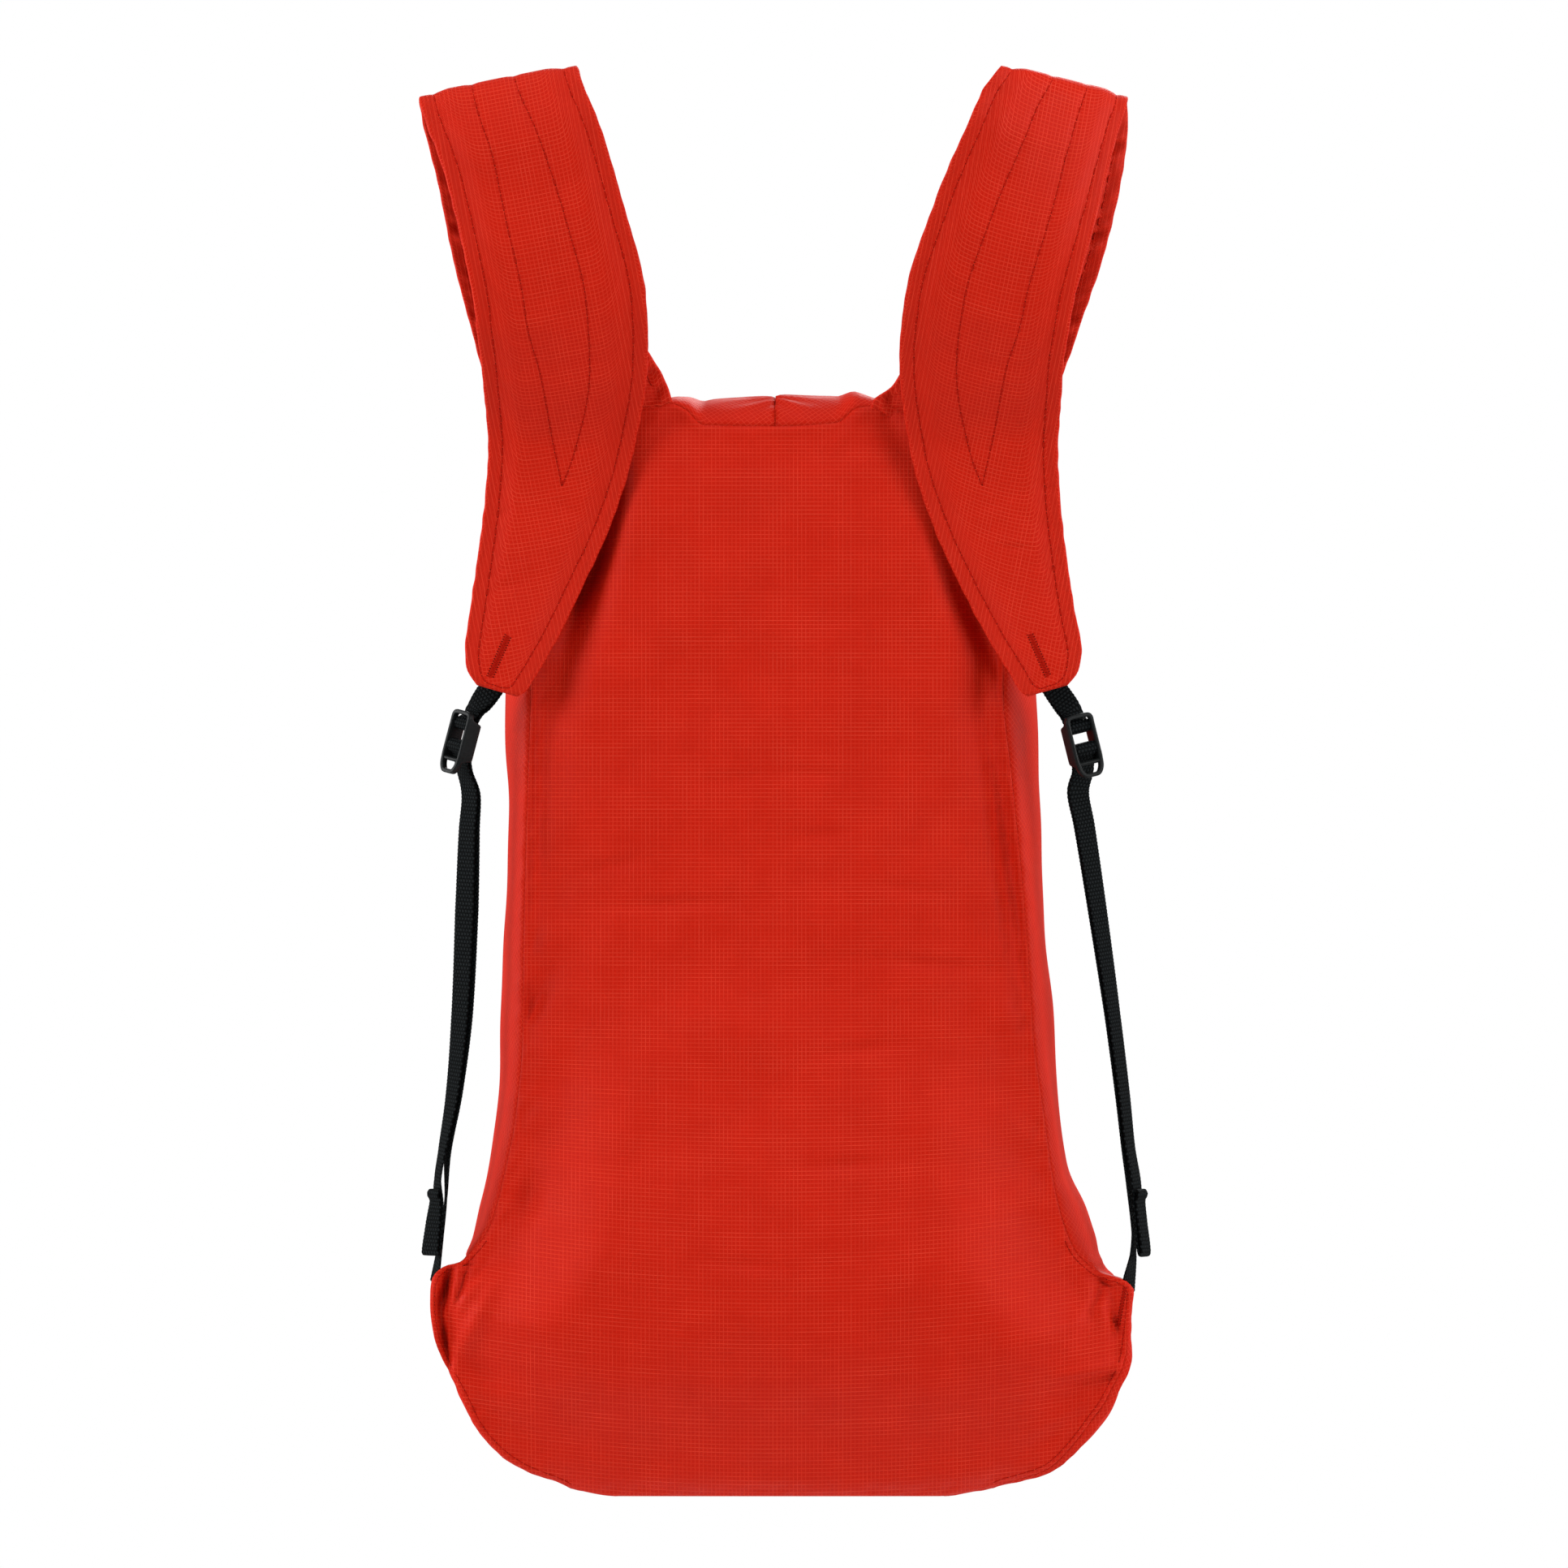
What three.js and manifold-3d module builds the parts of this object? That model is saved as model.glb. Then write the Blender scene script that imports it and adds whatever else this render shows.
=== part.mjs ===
// A lightweight backpack of thin ripstop cloth, hung up by its two padded shoulder straps.
// Millimetres, +Z up. -Y is the side against the wearer, and +X is to the right of someone facing that side.
// Heights in the tables are measured from the base of the bag, and the whole pack is then moved so that
// the origin lies midway between the undersides of the two strap folds, where the pack hangs.

import * as THREE from "three";
import { mergeVertices } from "three/addons/utils/BufferGeometryUtils.js";
import Module from "manifold-3d";

const wasm = await Module();
wasm.setup();

// Driving dimensions
const CLOTH = 1.2;
const SEAM_GAP = 0.4;
const HANG_HEIGHT = 611;
const HANG_DEPTH = -33;
const BASE_FLAT = 70;
const BASE_END = 100;
const BASE_LIFT = 1.5;
const MOUTH_HALF = 78;
const MOUTH_GAPE = 34;
const ZIP_TAPE = 1;
const ZIP_INSIDE = 6;
const ZIP_PROUD = 2.5;
const ZIP_GAP = 0.5;
const WEBBING_WIDTH = 10;
const WEBBING_THICK = 1.2;
const TAIL_THICK = 2.6;
const STRAP_EDGE = 1;
const STRAP_PAD = 1.7;
const PANEL_COLUMNS = 18;
const EDGE_CROWDING = 0.45;
const TOP_SHAPED_FROM = 380;
const BASE_SHAPED_TO = 45;
const FRONT_SHAPED_FROM = 300;
const FRONT_TOP_ROUND = 8;
const BELLY_POWER = 2.4;
const MOUTH_POWER = 1.3;
const MOUTH_LEAN = 0.35;
const ZIP_SHORT = 16;
const TIP_SEWN = 10;
const TIP_SLANT = 2.6;
const TIP_LAYERS = 3;

// Finishes of the cloth, the webbing and the buckles
const CLOTH_FINISH = { color: 0xc42a18, roughness: 0.7 };
const WEBBING_FINISH = { color: 0x17191a, roughness: 0.8 };
const BUCKLE_FINISH = { color: 0x17191a, roughness: 0.4 };

// Seam line of the back panel: distances left and right of the middle, with the part of each that is wing
const OUTLINE = [
  { height: 4.5, left: 90, right: 95, wingLeft: 0, wingRight: 0 },
  { height: 12, left: 110.5, right: 120, wingLeft: 0, wingRight: 0 },
  { height: 20, left: 122.5, right: 130, wingLeft: 0, wingRight: 0 },
  { height: 31, left: 131.5, right: 138, wingLeft: 0, wingRight: 0 },
  { height: 44, left: 137.5, right: 144.5, wingLeft: 1, wingRight: 2 },
  { height: 56, left: 143.3, right: 148.7, wingLeft: 5, wingRight: 5 },
  { height: 70, left: 149, right: 153, wingLeft: 10, wingRight: 9 },
  { height: 84, left: 150.7, right: 154.8, wingLeft: 12, wingRight: 11 },
  { height: 90, left: 150.6, right: 155.3, wingLeft: 12.5, wingRight: 12 },
  { height: 94.5, left: 150, right: 151, wingLeft: 12.5, wingRight: 8 },
  { height: 98, left: 148, right: 139.6, wingLeft: 11, wingRight: 1 },
  { height: 100.5, left: 144, right: 136, wingLeft: 8, wingRight: 0 },
  { height: 102, left: 138, right: 134.3, wingLeft: 3, wingRight: 0 },
  { height: 106, left: 133.5, right: 130.2, wingLeft: 0, wingRight: 0 },
  { height: 113, left: 127.6, right: 126.6, wingLeft: 0, wingRight: 0 },
  { height: 122, left: 123.2, right: 123.4, wingLeft: 0, wingRight: 0 },
  { height: 140, left: 118.6, right: 119.5, wingLeft: 0, wingRight: 0 },
  { height: 165, left: 113.6, right: 116, wingLeft: 0, wingRight: 0 },
  { height: 200, left: 110.5, right: 111.3, wingLeft: 0, wingRight: 0 },
  { height: 240, left: 110, right: 108.7, wingLeft: 0, wingRight: 0 },
  { height: 280, left: 109, right: 105.2, wingLeft: 0, wingRight: 0 },
  { height: 315, left: 108, right: 101.6, wingLeft: 0, wingRight: 0 },
  { height: 350, left: 107, right: 98.1, wingLeft: 0, wingRight: 0 },
  { height: 390, left: 107, right: 98.5, wingLeft: 0, wingRight: 0 },
  { height: 430, left: 109, right: 104, wingLeft: 0, wingRight: 0 },
  { height: 454, left: 111, right: 109, wingLeft: 0, wingRight: 0 },
];

// Top seam of the back panel: it dips between the straps and slopes down under them
const TOP_SEAM = [
  { x: -112, height: 454 },
  { x: -54, height: 474.2 },
  { x: -46, height: 476.6 },
  { x: -40, height: 473.5 },
  { x: -32, height: 466 },
  { x: 0, height: 465.5 },
  { x: 26, height: 467 },
  { x: 35, height: 474.5 },
  { x: 41.5, height: 475.4 },
  { x: 50, height: 473.2 },
  { x: 110, height: 455 },
];

// The body behind the back panel: where the back seam lies, how far the panel is crowned towards the wearer,
// the half-width and depth of the front seam, the crown of the front panel and the swell of each gusset
const BODY = [
  { height: 4.5, seam: 12, crown: 2, front: 74, depth: 90, belly: 0, swellLeft: 0, swellRight: 0 },
  { height: 12, seam: 6, crown: 4, front: 92, depth: 105, belly: 4, swellLeft: 2, swellRight: 4 },
  { height: 25, seam: 2, crown: 6, front: 106, depth: 120, belly: 9, swellLeft: 5, swellRight: 11 },
  { height: 50, seam: -2, crown: 8, front: 117, depth: 133, belly: 14, swellLeft: 7.5, swellRight: 18.5 },
  { height: 100, seam: -4, crown: 10, front: 119, depth: 145, belly: 19, swellLeft: 7.8, swellRight: 16 },
  { height: 122, seam: -3.7, crown: 10, front: 118, depth: 147, belly: 20, swellLeft: 9, swellRight: 15.2 },
  { height: 140, seam: -3.4, crown: 10, front: 116, depth: 147, belly: 21, swellLeft: 8.8, swellRight: 8.8 },
  { height: 165, seam: -3, crown: 10, front: 114, depth: 147, belly: 21, swellLeft: 8.8, swellRight: 8 },
  { height: 200, seam: -2.5, crown: 9.5, front: 111, depth: 144, belly: 21, swellLeft: 10.6, swellRight: 10 },
  { height: 240, seam: -2, crown: 9, front: 107, depth: 140, belly: 20, swellLeft: 10.4, swellRight: 9.6 },
  { height: 300, seam: -1, crown: 8, front: 103, depth: 131, belly: 18, swellLeft: 10.5, swellRight: 11.8 },
  { height: 350, seam: 0, crown: 7, front: 100, depth: 121, belly: 14, swellLeft: 14, swellRight: 14.8 },
  { height: 410, seam: 2, crown: 6, front: 97, depth: 103, belly: 8, swellLeft: 10, swellRight: 12 },
  { height: 454, seam: 5, crown: 3, front: 92, depth: 82, belly: 0, swellLeft: 8, swellRight: 8 },
];

// Swell of the top of the gussets, from the middle seam to the shoulder corners
const TOP_SWELL = [
  { share: 0, swell: 14.5 },
  { share: 0.11, swell: 14.5 },
  { share: 0.22, swell: 13.6 },
  { share: 0.33, swell: 6.5 },
  { share: 0.6, swell: 6 },
  { share: 1, swell: 8 },
];

// Folds pressed into the back panel: middle, half length and half width, turn of the fold line, and depth
const FOLDS = [
  { x: -143, height: 76, reach: 20, width: 3.5, turn: 90, depth: -3 },
  { x: -134, height: 90, reach: 11, width: 4, turn: 55, depth: 2.5 },
  { x: 139, height: 85, reach: 11, width: 4, turn: 125, depth: 2.5 },
  { x: 147, height: 76, reach: 14, width: 3.5, turn: 95, depth: -2.5 },
  { x: 62, height: 449, reach: 22, width: 7, turn: -35, depth: 3 },
  { x: 75, height: 425, reach: 24, width: 8, turn: -60, depth: 2.5 },
  { x: -60, height: 448, reach: 20, width: 8, turn: 30, depth: 2 },
  { x: -38, height: 203, reach: 60, width: 18, turn: 0, depth: 2.5 },
  { x: -48, height: 301, reach: 50, width: 17, turn: -8, depth: 2 },
  { x: 45, height: 255, reach: 55, width: 18, turn: 10, depth: 2 },
];

// Straps from the shoulder seam up the back run, over the fold and down the front run to the tip.
// tilt lifts the inner edge, yaw turns the outer edge away from the wearer, and pad is the share of padding.
const STRAP_LEFT = [
  { x: -79, y: 3.8, height: 466.2, width: 70.4, tilt: 19.4, yaw: 2.2, pad: 0 },
  { x: -82.5, y: 2.2, height: 475.5, width: 70.4, tilt: 19, yaw: 0, pad: 0.5 },
  { x: -91.8, y: -3, height: 491.9, width: 70.4, tilt: 18, yaw: 0, pad: 1 },
  { x: -99, y: -9, height: 517.5, width: 70.4, tilt: 16, yaw: 0, pad: 1 },
  { x: -106.4, y: -16, height: 546.5, width: 70.4, tilt: 15, yaw: 0, pad: 1 },
  { x: -112.8, y: -21.5, height: 579.3, width: 70.4, tilt: 13, yaw: 0, pad: 1 },
  { x: -118.6, y: -24.5, height: 602, width: 70.2, tilt: 11.5, yaw: 0, pad: 0.8 },
  { x: -119.9, y: -28, height: 609.5, width: 70.2, tilt: 10.7, yaw: 0, pad: 0.6 },
  { x: -120.3, y: -33, height: 612.8, width: 70.2, tilt: 11.2, yaw: 0, pad: 0.6 },
  { x: -119.3, y: -38.5, height: 609, width: 70.2, tilt: 11, yaw: 0, pad: 0.6 },
  { x: -117, y: -42, height: 602, width: 70.2, tilt: 12.5, yaw: 0, pad: 0.8 },
  { x: -110.6, y: -46.5, height: 586, width: 70.4, tilt: 14, yaw: 0, pad: 1 },
  { x: -101.3, y: -47.5, height: 552.5, width: 71.8, tilt: 13, yaw: 0, pad: 1 },
  { x: -93.5, y: -41, height: 517.1, width: 74.3, tilt: 8, yaw: 0, pad: 1 },
  { x: -91.8, y: -27, height: 487.5, width: 71.5, tilt: 2, yaw: 0, pad: 1 },
  { x: -94, y: -9.5, height: 456.5, width: 63.4, tilt: -6, yaw: 0, pad: 1 },
  { x: -99.3, y: -6, height: 429.4, width: 56.2, tilt: -12, yaw: 0, pad: 1 },
  { x: -107.1, y: -8.5, height: 402.6, width: 47.5, tilt: -16, yaw: 0, pad: 0.9 },
  { x: -114.4, y: -14, height: 379.1, width: 39.8, tilt: -20, yaw: 0, pad: 0.7 },
  { x: -120.4, y: -18, height: 361, width: 32, tilt: -22, yaw: 0, pad: 0.3 },
  { x: -121.6, y: -19.2, height: 354, width: 26, tilt: -20, yaw: 0, pad: 0.1 },
  { x: -121.4, y: -20, height: 350.3, width: 18, tilt: -16, yaw: 0, pad: 0 },
];
const STRAP_RIGHT = [
  { x: 75.2, y: 2.5, height: 466.3, width: 70.4, tilt: 16.9, yaw: 2.2, pad: 0 },
  { x: 81.4, y: 2.2, height: 475.5, width: 63, tilt: 17, yaw: 0, pad: 0.5 },
  { x: 90, y: -3, height: 491.9, width: 66, tilt: 17, yaw: 2, pad: 1 },
  { x: 97.4, y: -9, height: 517.5, width: 70.4, tilt: 17, yaw: 5, pad: 1 },
  { x: 107.9, y: -16, height: 546.5, width: 70.4, tilt: 16, yaw: 12, pad: 1 },
  { x: 117.5, y: -21.5, height: 579.3, width: 70.4, tilt: 13, yaw: 22, pad: 1 },
  { x: 123, y: -24.5, height: 602, width: 70.2, tilt: 10.5, yaw: 32, pad: 0.8 },
  { x: 124, y: -28, height: 609.8, width: 70.2, tilt: 9.5, yaw: 36, pad: 0.6 },
  { x: 124, y: -33, height: 612.8, width: 70.2, tilt: 9.5, yaw: 36, pad: 0.6 },
  { x: 122.2, y: -38.5, height: 609, width: 70.2, tilt: 10, yaw: 33, pad: 0.6 },
  { x: 118.7, y: -42, height: 602, width: 70.2, tilt: 12, yaw: 30, pad: 0.8 },
  { x: 112.8, y: -46.5, height: 585.5, width: 70.4, tilt: 14, yaw: 26, pad: 1 },
  { x: 101.4, y: -47.5, height: 552.2, width: 70.6, tilt: 13, yaw: 11, pad: 1 },
  { x: 91.3, y: -41, height: 517.4, width: 72.4, tilt: 8, yaw: 3, pad: 1 },
  { x: 88.2, y: -27, height: 488.2, width: 70.8, tilt: 2, yaw: 0, pad: 1 },
  { x: 89.9, y: -10.5, height: 456.5, width: 64.5, tilt: -6, yaw: 0, pad: 1 },
  { x: 94.9, y: -7.8, height: 429.3, width: 56.9, tilt: -12, yaw: 0, pad: 1 },
  { x: 102.5, y: -9.5, height: 402.6, width: 47.9, tilt: -16, yaw: 0, pad: 0.9 },
  { x: 110.4, y: -14, height: 379.2, width: 39.4, tilt: -20, yaw: 0, pad: 0.7 },
  { x: 117.2, y: -18, height: 361, width: 32, tilt: -22, yaw: 0, pad: 0.3 },
  { x: 118, y: -19.2, height: 354, width: 26, tilt: -20, yaw: 0, pad: 0.1 },
  { x: 117.2, y: -20, height: 350.3, width: 18, tilt: -16, yaw: 0, pad: 0 },
];
const STRAP_STEPS = 2;

// Across a strap: place from edge to edge, and the share of the padding there
const STRAP_SECTION = [
  { across: -1, fill: 0 },
  { across: -0.84, fill: 0.05 },
  { across: -0.58, fill: 0.8 },
  { across: 0, fill: 1 },
  { across: 0.58, fill: 0.8 },
  { across: 0.84, fill: 0.05 },
  { across: 1, fill: 0 },
];

// Ladder-lock buckle, in its own frame: width along x, length along y, the outer side towards +z
const LOCK_DEPTH = 7.6;
const LOCK_RIM = 1.5;
const LOCK_FRONT = 1;
const LOCK_CLEAR = 5.4;
const LOCK_TOP_CUT = 10;
const LOCK_BOTTOM_CUT = -7.5;
const LOCK_CUT = 8;
const LOCK_OUTLINE = [
  { half: 4.4, along: -14 },
  { half: 6.2, along: -10.5 },
  { half: 6.9, along: -6 },
  { half: 6.9, along: 10 },
  { half: 6.7, along: 12.5 },
  { half: 5.2, along: 14 },
];
const FIXED_BAR = { along: 8.5, out: 0, radius: 1.3 };
const MIDDLE_BAR = { along: -1.5, out: 0.6, radius: 1.5 };
const THUMB_BAR = { along: -7.6, out: 2.4, radius: 0.9 };
const BAR_SIDES = 10;

// Each side of the pack: side is -1 on the left, lean tips the buckle's top inwards, yaw turns it outwards
const SIDES = [
  {
    name: "left",
    side: -1,
    strap: STRAP_LEFT,
    lock: { x: -137.2, y: -12.5, height: 327.8, lean: 14.7, yaw: 54 },
    tip: { x: -120, y: -15.6, height: 357.5, lean: 20 },
    loaded: [
      { x: -147.4, y: 0, height: 101.4, yaw: 82 },
      { x: -145.6, y: 0, height: 115, yaw: 82 },
      { x: -144.6, y: -0.5, height: 130, yaw: 78 },
      { x: -143.2, y: -1.1, height: 150, yaw: 72 },
      { x: -139.4, y: -1.8, height: 175, yaw: 58 },
      { x: -135.8, y: -2.4, height: 208, yaw: 46 },
      { x: -133.6, y: -3.6, height: 255, yaw: 38 },
      { x: -132.6, y: -4.6, height: 290, yaw: 46 },
      { x: -132.2, y: -5.1, height: 306, yaw: 48 },
    ],
    tail: [
      { x: -133.6, y: -6.5, height: 306, yaw: 48, thick: WEBBING_THICK },
      { x: -134.6, y: -6.2, height: 290, yaw: 46, thick: WEBBING_THICK },
      { x: -135.8, y: -5.3, height: 255, yaw: 38, thick: WEBBING_THICK },
      { x: -138, y: -4, height: 208, yaw: 46, thick: WEBBING_THICK },
      { x: -141.2, y: -2.9, height: 175, yaw: 58, thick: WEBBING_THICK },
      { x: -145.6, y: -2.2, height: 150, yaw: 72, thick: WEBBING_THICK },
      { x: -146.8, y: -1.4, height: 138, yaw: 68, thick: WEBBING_THICK },
      { x: -147.5, y: -1.2, height: 132, yaw: 66, thick: TAIL_THICK },
      { x: -148.4, y: -1.5, height: 122, yaw: 62, thick: TAIL_THICK },
      { x: -150.4, y: -2.2, height: 106.4, yaw: 58, thick: TAIL_THICK },
    ],
  },
  {
    name: "right",
    side: 1,
    strap: STRAP_RIGHT,
    lock: { x: 132.4, y: -12.5, height: 326.4, lean: 13.9, yaw: 27 },
    tip: { x: 116.4, y: -15.6, height: 357.5, lean: 20 },
    loaded: [
      { x: 153.2, y: -0.5, height: 96.6, yaw: 66 },
      { x: 154.6, y: -0.9, height: 106, yaw: 76 },
      { x: 155, y: -1.2, height: 115, yaw: 80 },
      { x: 153.4, y: -1.4, height: 135, yaw: 72 },
      { x: 151.6, y: -1.7, height: 152, yaw: 66 },
      { x: 149.2, y: -2.1, height: 175, yaw: 62 },
      { x: 144.8, y: -2.7, height: 210, yaw: 58 },
      { x: 138.6, y: -3.7, height: 254, yaw: 46 },
      { x: 132.8, y: -4.5, height: 292, yaw: 36 },
      { x: 130.2, y: -5.1, height: 307, yaw: 31 },
    ],
    tail: [
      { x: 131.1, y: -6.6, height: 307, yaw: 31, thick: WEBBING_THICK },
      { x: 133.8, y: -5.9, height: 292, yaw: 36, thick: WEBBING_THICK },
      { x: 139.8, y: -5, height: 254, yaw: 46, thick: WEBBING_THICK },
      { x: 146.3, y: -3.8, height: 210, yaw: 58, thick: WEBBING_THICK },
      { x: 150.8, y: -3.1, height: 175, yaw: 62, thick: WEBBING_THICK },
      { x: 153.4, y: -2.6, height: 152, yaw: 66, thick: WEBBING_THICK },
      { x: 155.8, y: -2.3, height: 138, yaw: 66, thick: WEBBING_THICK },
      { x: 157, y: -2.4, height: 132, yaw: 66, thick: TAIL_THICK },
      { x: 158, y: -2.4, height: 122, yaw: 66, thick: TAIL_THICK },
      { x: 159.4, y: -3, height: 106, yaw: 66, thick: TAIL_THICK },
    ],
  },
];

// Webbing inside the buckle, in the buckle's frame
const TIP_LOOP = [
  { along: 16, out: -2 },
  { along: 12.6, out: -1.1 },
  { along: 10.4, out: 1.3 },
  { along: 8.5, out: 2.3 },
  { along: 6.8, out: 1.6 },
  { along: 6.2, out: 0 },
  { along: 6.8, out: -1.6 },
  { along: 8.5, out: -2.3 },
  { along: 12.6, out: -3.4 },
  { along: 16, out: -5.2 },
];
const ADJUSTER_UP = [
  { along: -11, out: -6.6 },
  { along: -6, out: -3.9 },
  { along: -3.2, out: -2.5 },
  { along: -1.5, out: -1.9 },
  { along: 0.3, out: -1.2 },
];
const ADJUSTER_OVER = [
  { along: 1, out: 0.6 },
  { along: 0.3, out: 2.4 },
  { along: -1.5, out: 3.1 },
  { along: -3.3, out: 2.4 },
  { along: -4, out: 1 },
];
const ADJUSTER_DOWN = [
  { along: -4.8, out: -0.4 },
  { along: -6.6, out: -1.9 },
  { along: -11, out: -4.8 },
];
const RIBBON_STEPS = 2;
const TIP_STEPS = 4;

const GUSSET_STEPS = [0, 0.05, 0.14, 0.3, 0.52, 0.76, 1];
const WING_FADE = 0.2;
const SWELL_LEAN = 0.62;

const radians = THREE.MathUtils.degToRad;
const mix = THREE.MathUtils.lerp;
const clamp = THREE.MathUtils.clamp;
const smooth = THREE.MathUtils.smoothstep;

// Reads a column of a table at any place by monotone cubics, so the curve never overshoots its rows
function readColumn(table, key, column, at) {
  const last = table.length - 1;
  const place = clamp(at, table[0][key], table[last][key]);
  let row = 0;
  while (row < last - 1 && place > table[row + 1][key]) {
    row += 1;
  }
  const rise = (i) => (table[i + 1][column] - table[i][column]) / (table[i + 1][key] - table[i][key]);
  const slope = (i) => {
    if (i === 0 || i === last) {
      return rise(Math.min(i, last - 1));
    }
    const before = rise(i - 1);
    const after = rise(i);
    return before * after <= 0 ? 0 : (2 * before * after) / (before + after);
  };
  const step = table[row + 1][key] - table[row][key];
  const t = (place - table[row][key]) / step;
  const from = table[row][column];
  const to = table[row + 1][column];
  const bend = t * t * (3 - 2 * t);
  const leave = t * (1 - t) * (1 - t) * step * slope(row);
  const arrive = t * t * (t - 1) * step * slope(row + 1);
  return from + (to - from) * bend + leave + arrive;
}

// Gives a table a running number for each row, to read it along its length
function numbered(table) {
  return table.map((row, station) => ({ ...row, station }));
}

// A geometry from points and triangles, turned so that its faces point out
function solidFrom(points, triangles) {
  const volume = triangles.reduce((sum, [a, b, c]) => {
    return sum + points[a].dot(points[b].clone().cross(points[c]));
  }, 0);
  const faces = triangles.map(([a, b, c]) => (volume < 0 ? [a, c, b] : [a, b, c]));
  const geometry = new THREE.BufferGeometry();
  geometry.setAttribute("position", new THREE.Float32BufferAttribute(points.flatMap((p) => p.toArray()), 3));
  geometry.setIndex(faces.flat());
  geometry.computeVertexNormals();
  return geometry;
}

// Unit normals of a grid of points, from the differences along its rows and columns
function gridNormals(grid) {
  return grid.map((row, i) => row.map((_, j) => {
    const down = grid[Math.min(i + 1, grid.length - 1)][j].clone().sub(grid[Math.max(i - 1, 0)][j]);
    const along = row[Math.min(j + 1, row.length - 1)].clone().sub(row[Math.max(j - 1, 0)]);
    return along.cross(down).normalize();
  }));
}

// A cloth wall: a grid of outside points and the same grid moved in by the thickness, closed round its rim
function clothWall(grid, normals, thickness) {
  const rows = grid.length;
  const columns = grid[0].length;
  const end = columns - 1;
  const outside = grid.flat();
  const moved = (p, i, j) => p.clone().addScaledVector(normals[i][j], -thickness);
  const inside = grid.flatMap((row, i) => row.map((p, j) => moved(p, i, j)));
  const points = [...outside, ...inside];
  const shift = rows * columns;
  const at = (i, j) => i * columns + j;
  const triangles = [];
  const quad = (a, b, c, d) => triangles.push([a, b, c], [a, c, d]);
  for (let i = 0; i < rows - 1; i += 1) {
    for (let j = 0; j < columns - 1; j += 1) {
      quad(at(i, j), at(i, j + 1), at(i + 1, j + 1), at(i + 1, j));
      quad(shift + at(i, j), shift + at(i + 1, j), shift + at(i + 1, j + 1), shift + at(i, j + 1));
    }
    quad(at(i, 0), at(i + 1, 0), shift + at(i + 1, 0), shift + at(i, 0));
    quad(at(i + 1, end), at(i, end), shift + at(i, end), shift + at(i + 1, end));
  }
  for (let j = 0; j < columns - 1; j += 1) {
    quad(at(0, j + 1), at(0, j), shift + at(0, j), shift + at(0, j + 1));
    quad(at(rows - 1, j), at(rows - 1, j + 1), shift + at(rows - 1, j + 1), shift + at(rows - 1, j));
  }
  return solidFrom(points, triangles);
}

// A band carried along a path: each row holds the points of the upper side, then of the lower side going back
function sweptBand(loops) {
  const size = loops[0].length;
  const half = size / 2;
  const points = loops.flat();
  const triangles = [];
  const quad = (a, b, c, d) => triangles.push([a, b, c], [a, c, d]);
  for (let i = 0; i < loops.length - 1; i += 1) {
    for (let j = 0; j < size; j += 1) {
      const next = (j + 1) % size;
      quad(i * size + j, i * size + next, (i + 1) * size + next, (i + 1) * size + j);
    }
  }
  const end = (loops.length - 1) * size;
  for (let j = 0; j < half - 1; j += 1) {
    quad(j, size - 1 - j, size - 2 - j, j + 1);
    quad(end + j, end + j + 1, end + size - 2 - j, end + size - 1 - j);
  }
  return solidFrom(points, triangles);
}

// Places across a panel, from 0 at its left edge to 1 at its right edge, closer together near the edges
const places = Array.from({ length: PANEL_COLUMNS + 1 }, (_, j) => {
  const even = j / PANEL_COLUMNS;
  return mix(even, (1 - Math.cos(Math.PI * even)) / 2, EDGE_CROWDING);
});
const heights = OUTLINE.map((row) => row.height);
const bottomHeight = heights[0];
const topHeight = heights[heights.length - 1];

// How far the bottom edge lies below the lowest row: flat in the middle, rising to the corners
function baseDrop(x, height) {
  const fade = 1 - smooth(height, bottomHeight, BASE_SHAPED_TO);
  const corner = smooth(Math.abs(x), BASE_FLAT, BASE_END);
  return bottomHeight * (1 - corner) * fade;
}

function foldDepth(x, height) {
  return FOLDS.reduce((sum, fold) => {
    const dx = x - fold.x;
    const dz = height - fold.height;
    const turn = radians(fold.turn);
    const along = (dx * Math.cos(turn) + dz * Math.sin(turn)) / fold.reach;
    const across = (dz * Math.cos(turn) - dx * Math.sin(turn)) / fold.width;
    return sum + fold.depth * Math.exp(-along * along - across * across);
  }, 0);
}

// A point of the back panel at a place across it and a height up its seam
function backPoint(place, height) {
  const left = -readColumn(OUTLINE, "height", "left", height);
  const right = readColumn(OUTLINE, "height", "right", height);
  const x = mix(left, right, place);
  const rise = readColumn(TOP_SEAM, "x", "height", x) - topHeight;
  const z = height + rise * smooth(height, TOP_SHAPED_FROM, topHeight) - baseDrop(x, height);
  const edge = Math.abs(2 * place - 1);
  const crown = readColumn(BODY, "height", "crown", height) * (1 - edge * edge);
  const y = readColumn(BODY, "height", "seam", height) - crown - foldDepth(x, height);
  return new THREE.Vector3(x, y, z);
}

// A point of the front panel, whose top edge sinks by the gape to open the mouth
function frontPoint(place, height, gape) {
  const half = readColumn(BODY, "height", "front", height);
  const x = mix(-half, half, place);
  const edge = Math.abs(2 * place - 1);
  const belly = readColumn(BODY, "height", "belly", height) * (1 - edge ** BELLY_POWER);
  const top = smooth(height, FRONT_SHAPED_FROM, topHeight);
  const round = FRONT_TOP_ROUND * (1 - edge * edge) * top;
  const open = Math.max(0, 1 - (x / MOUTH_HALF) ** 2) ** MOUTH_POWER * gape * top;
  const z = height + round - open - baseDrop(x, height);
  const y = readColumn(BODY, "height", "depth", height) + belly + MOUTH_LEAN * open;
  return new THREE.Vector3(x, y, z);
}

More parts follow.
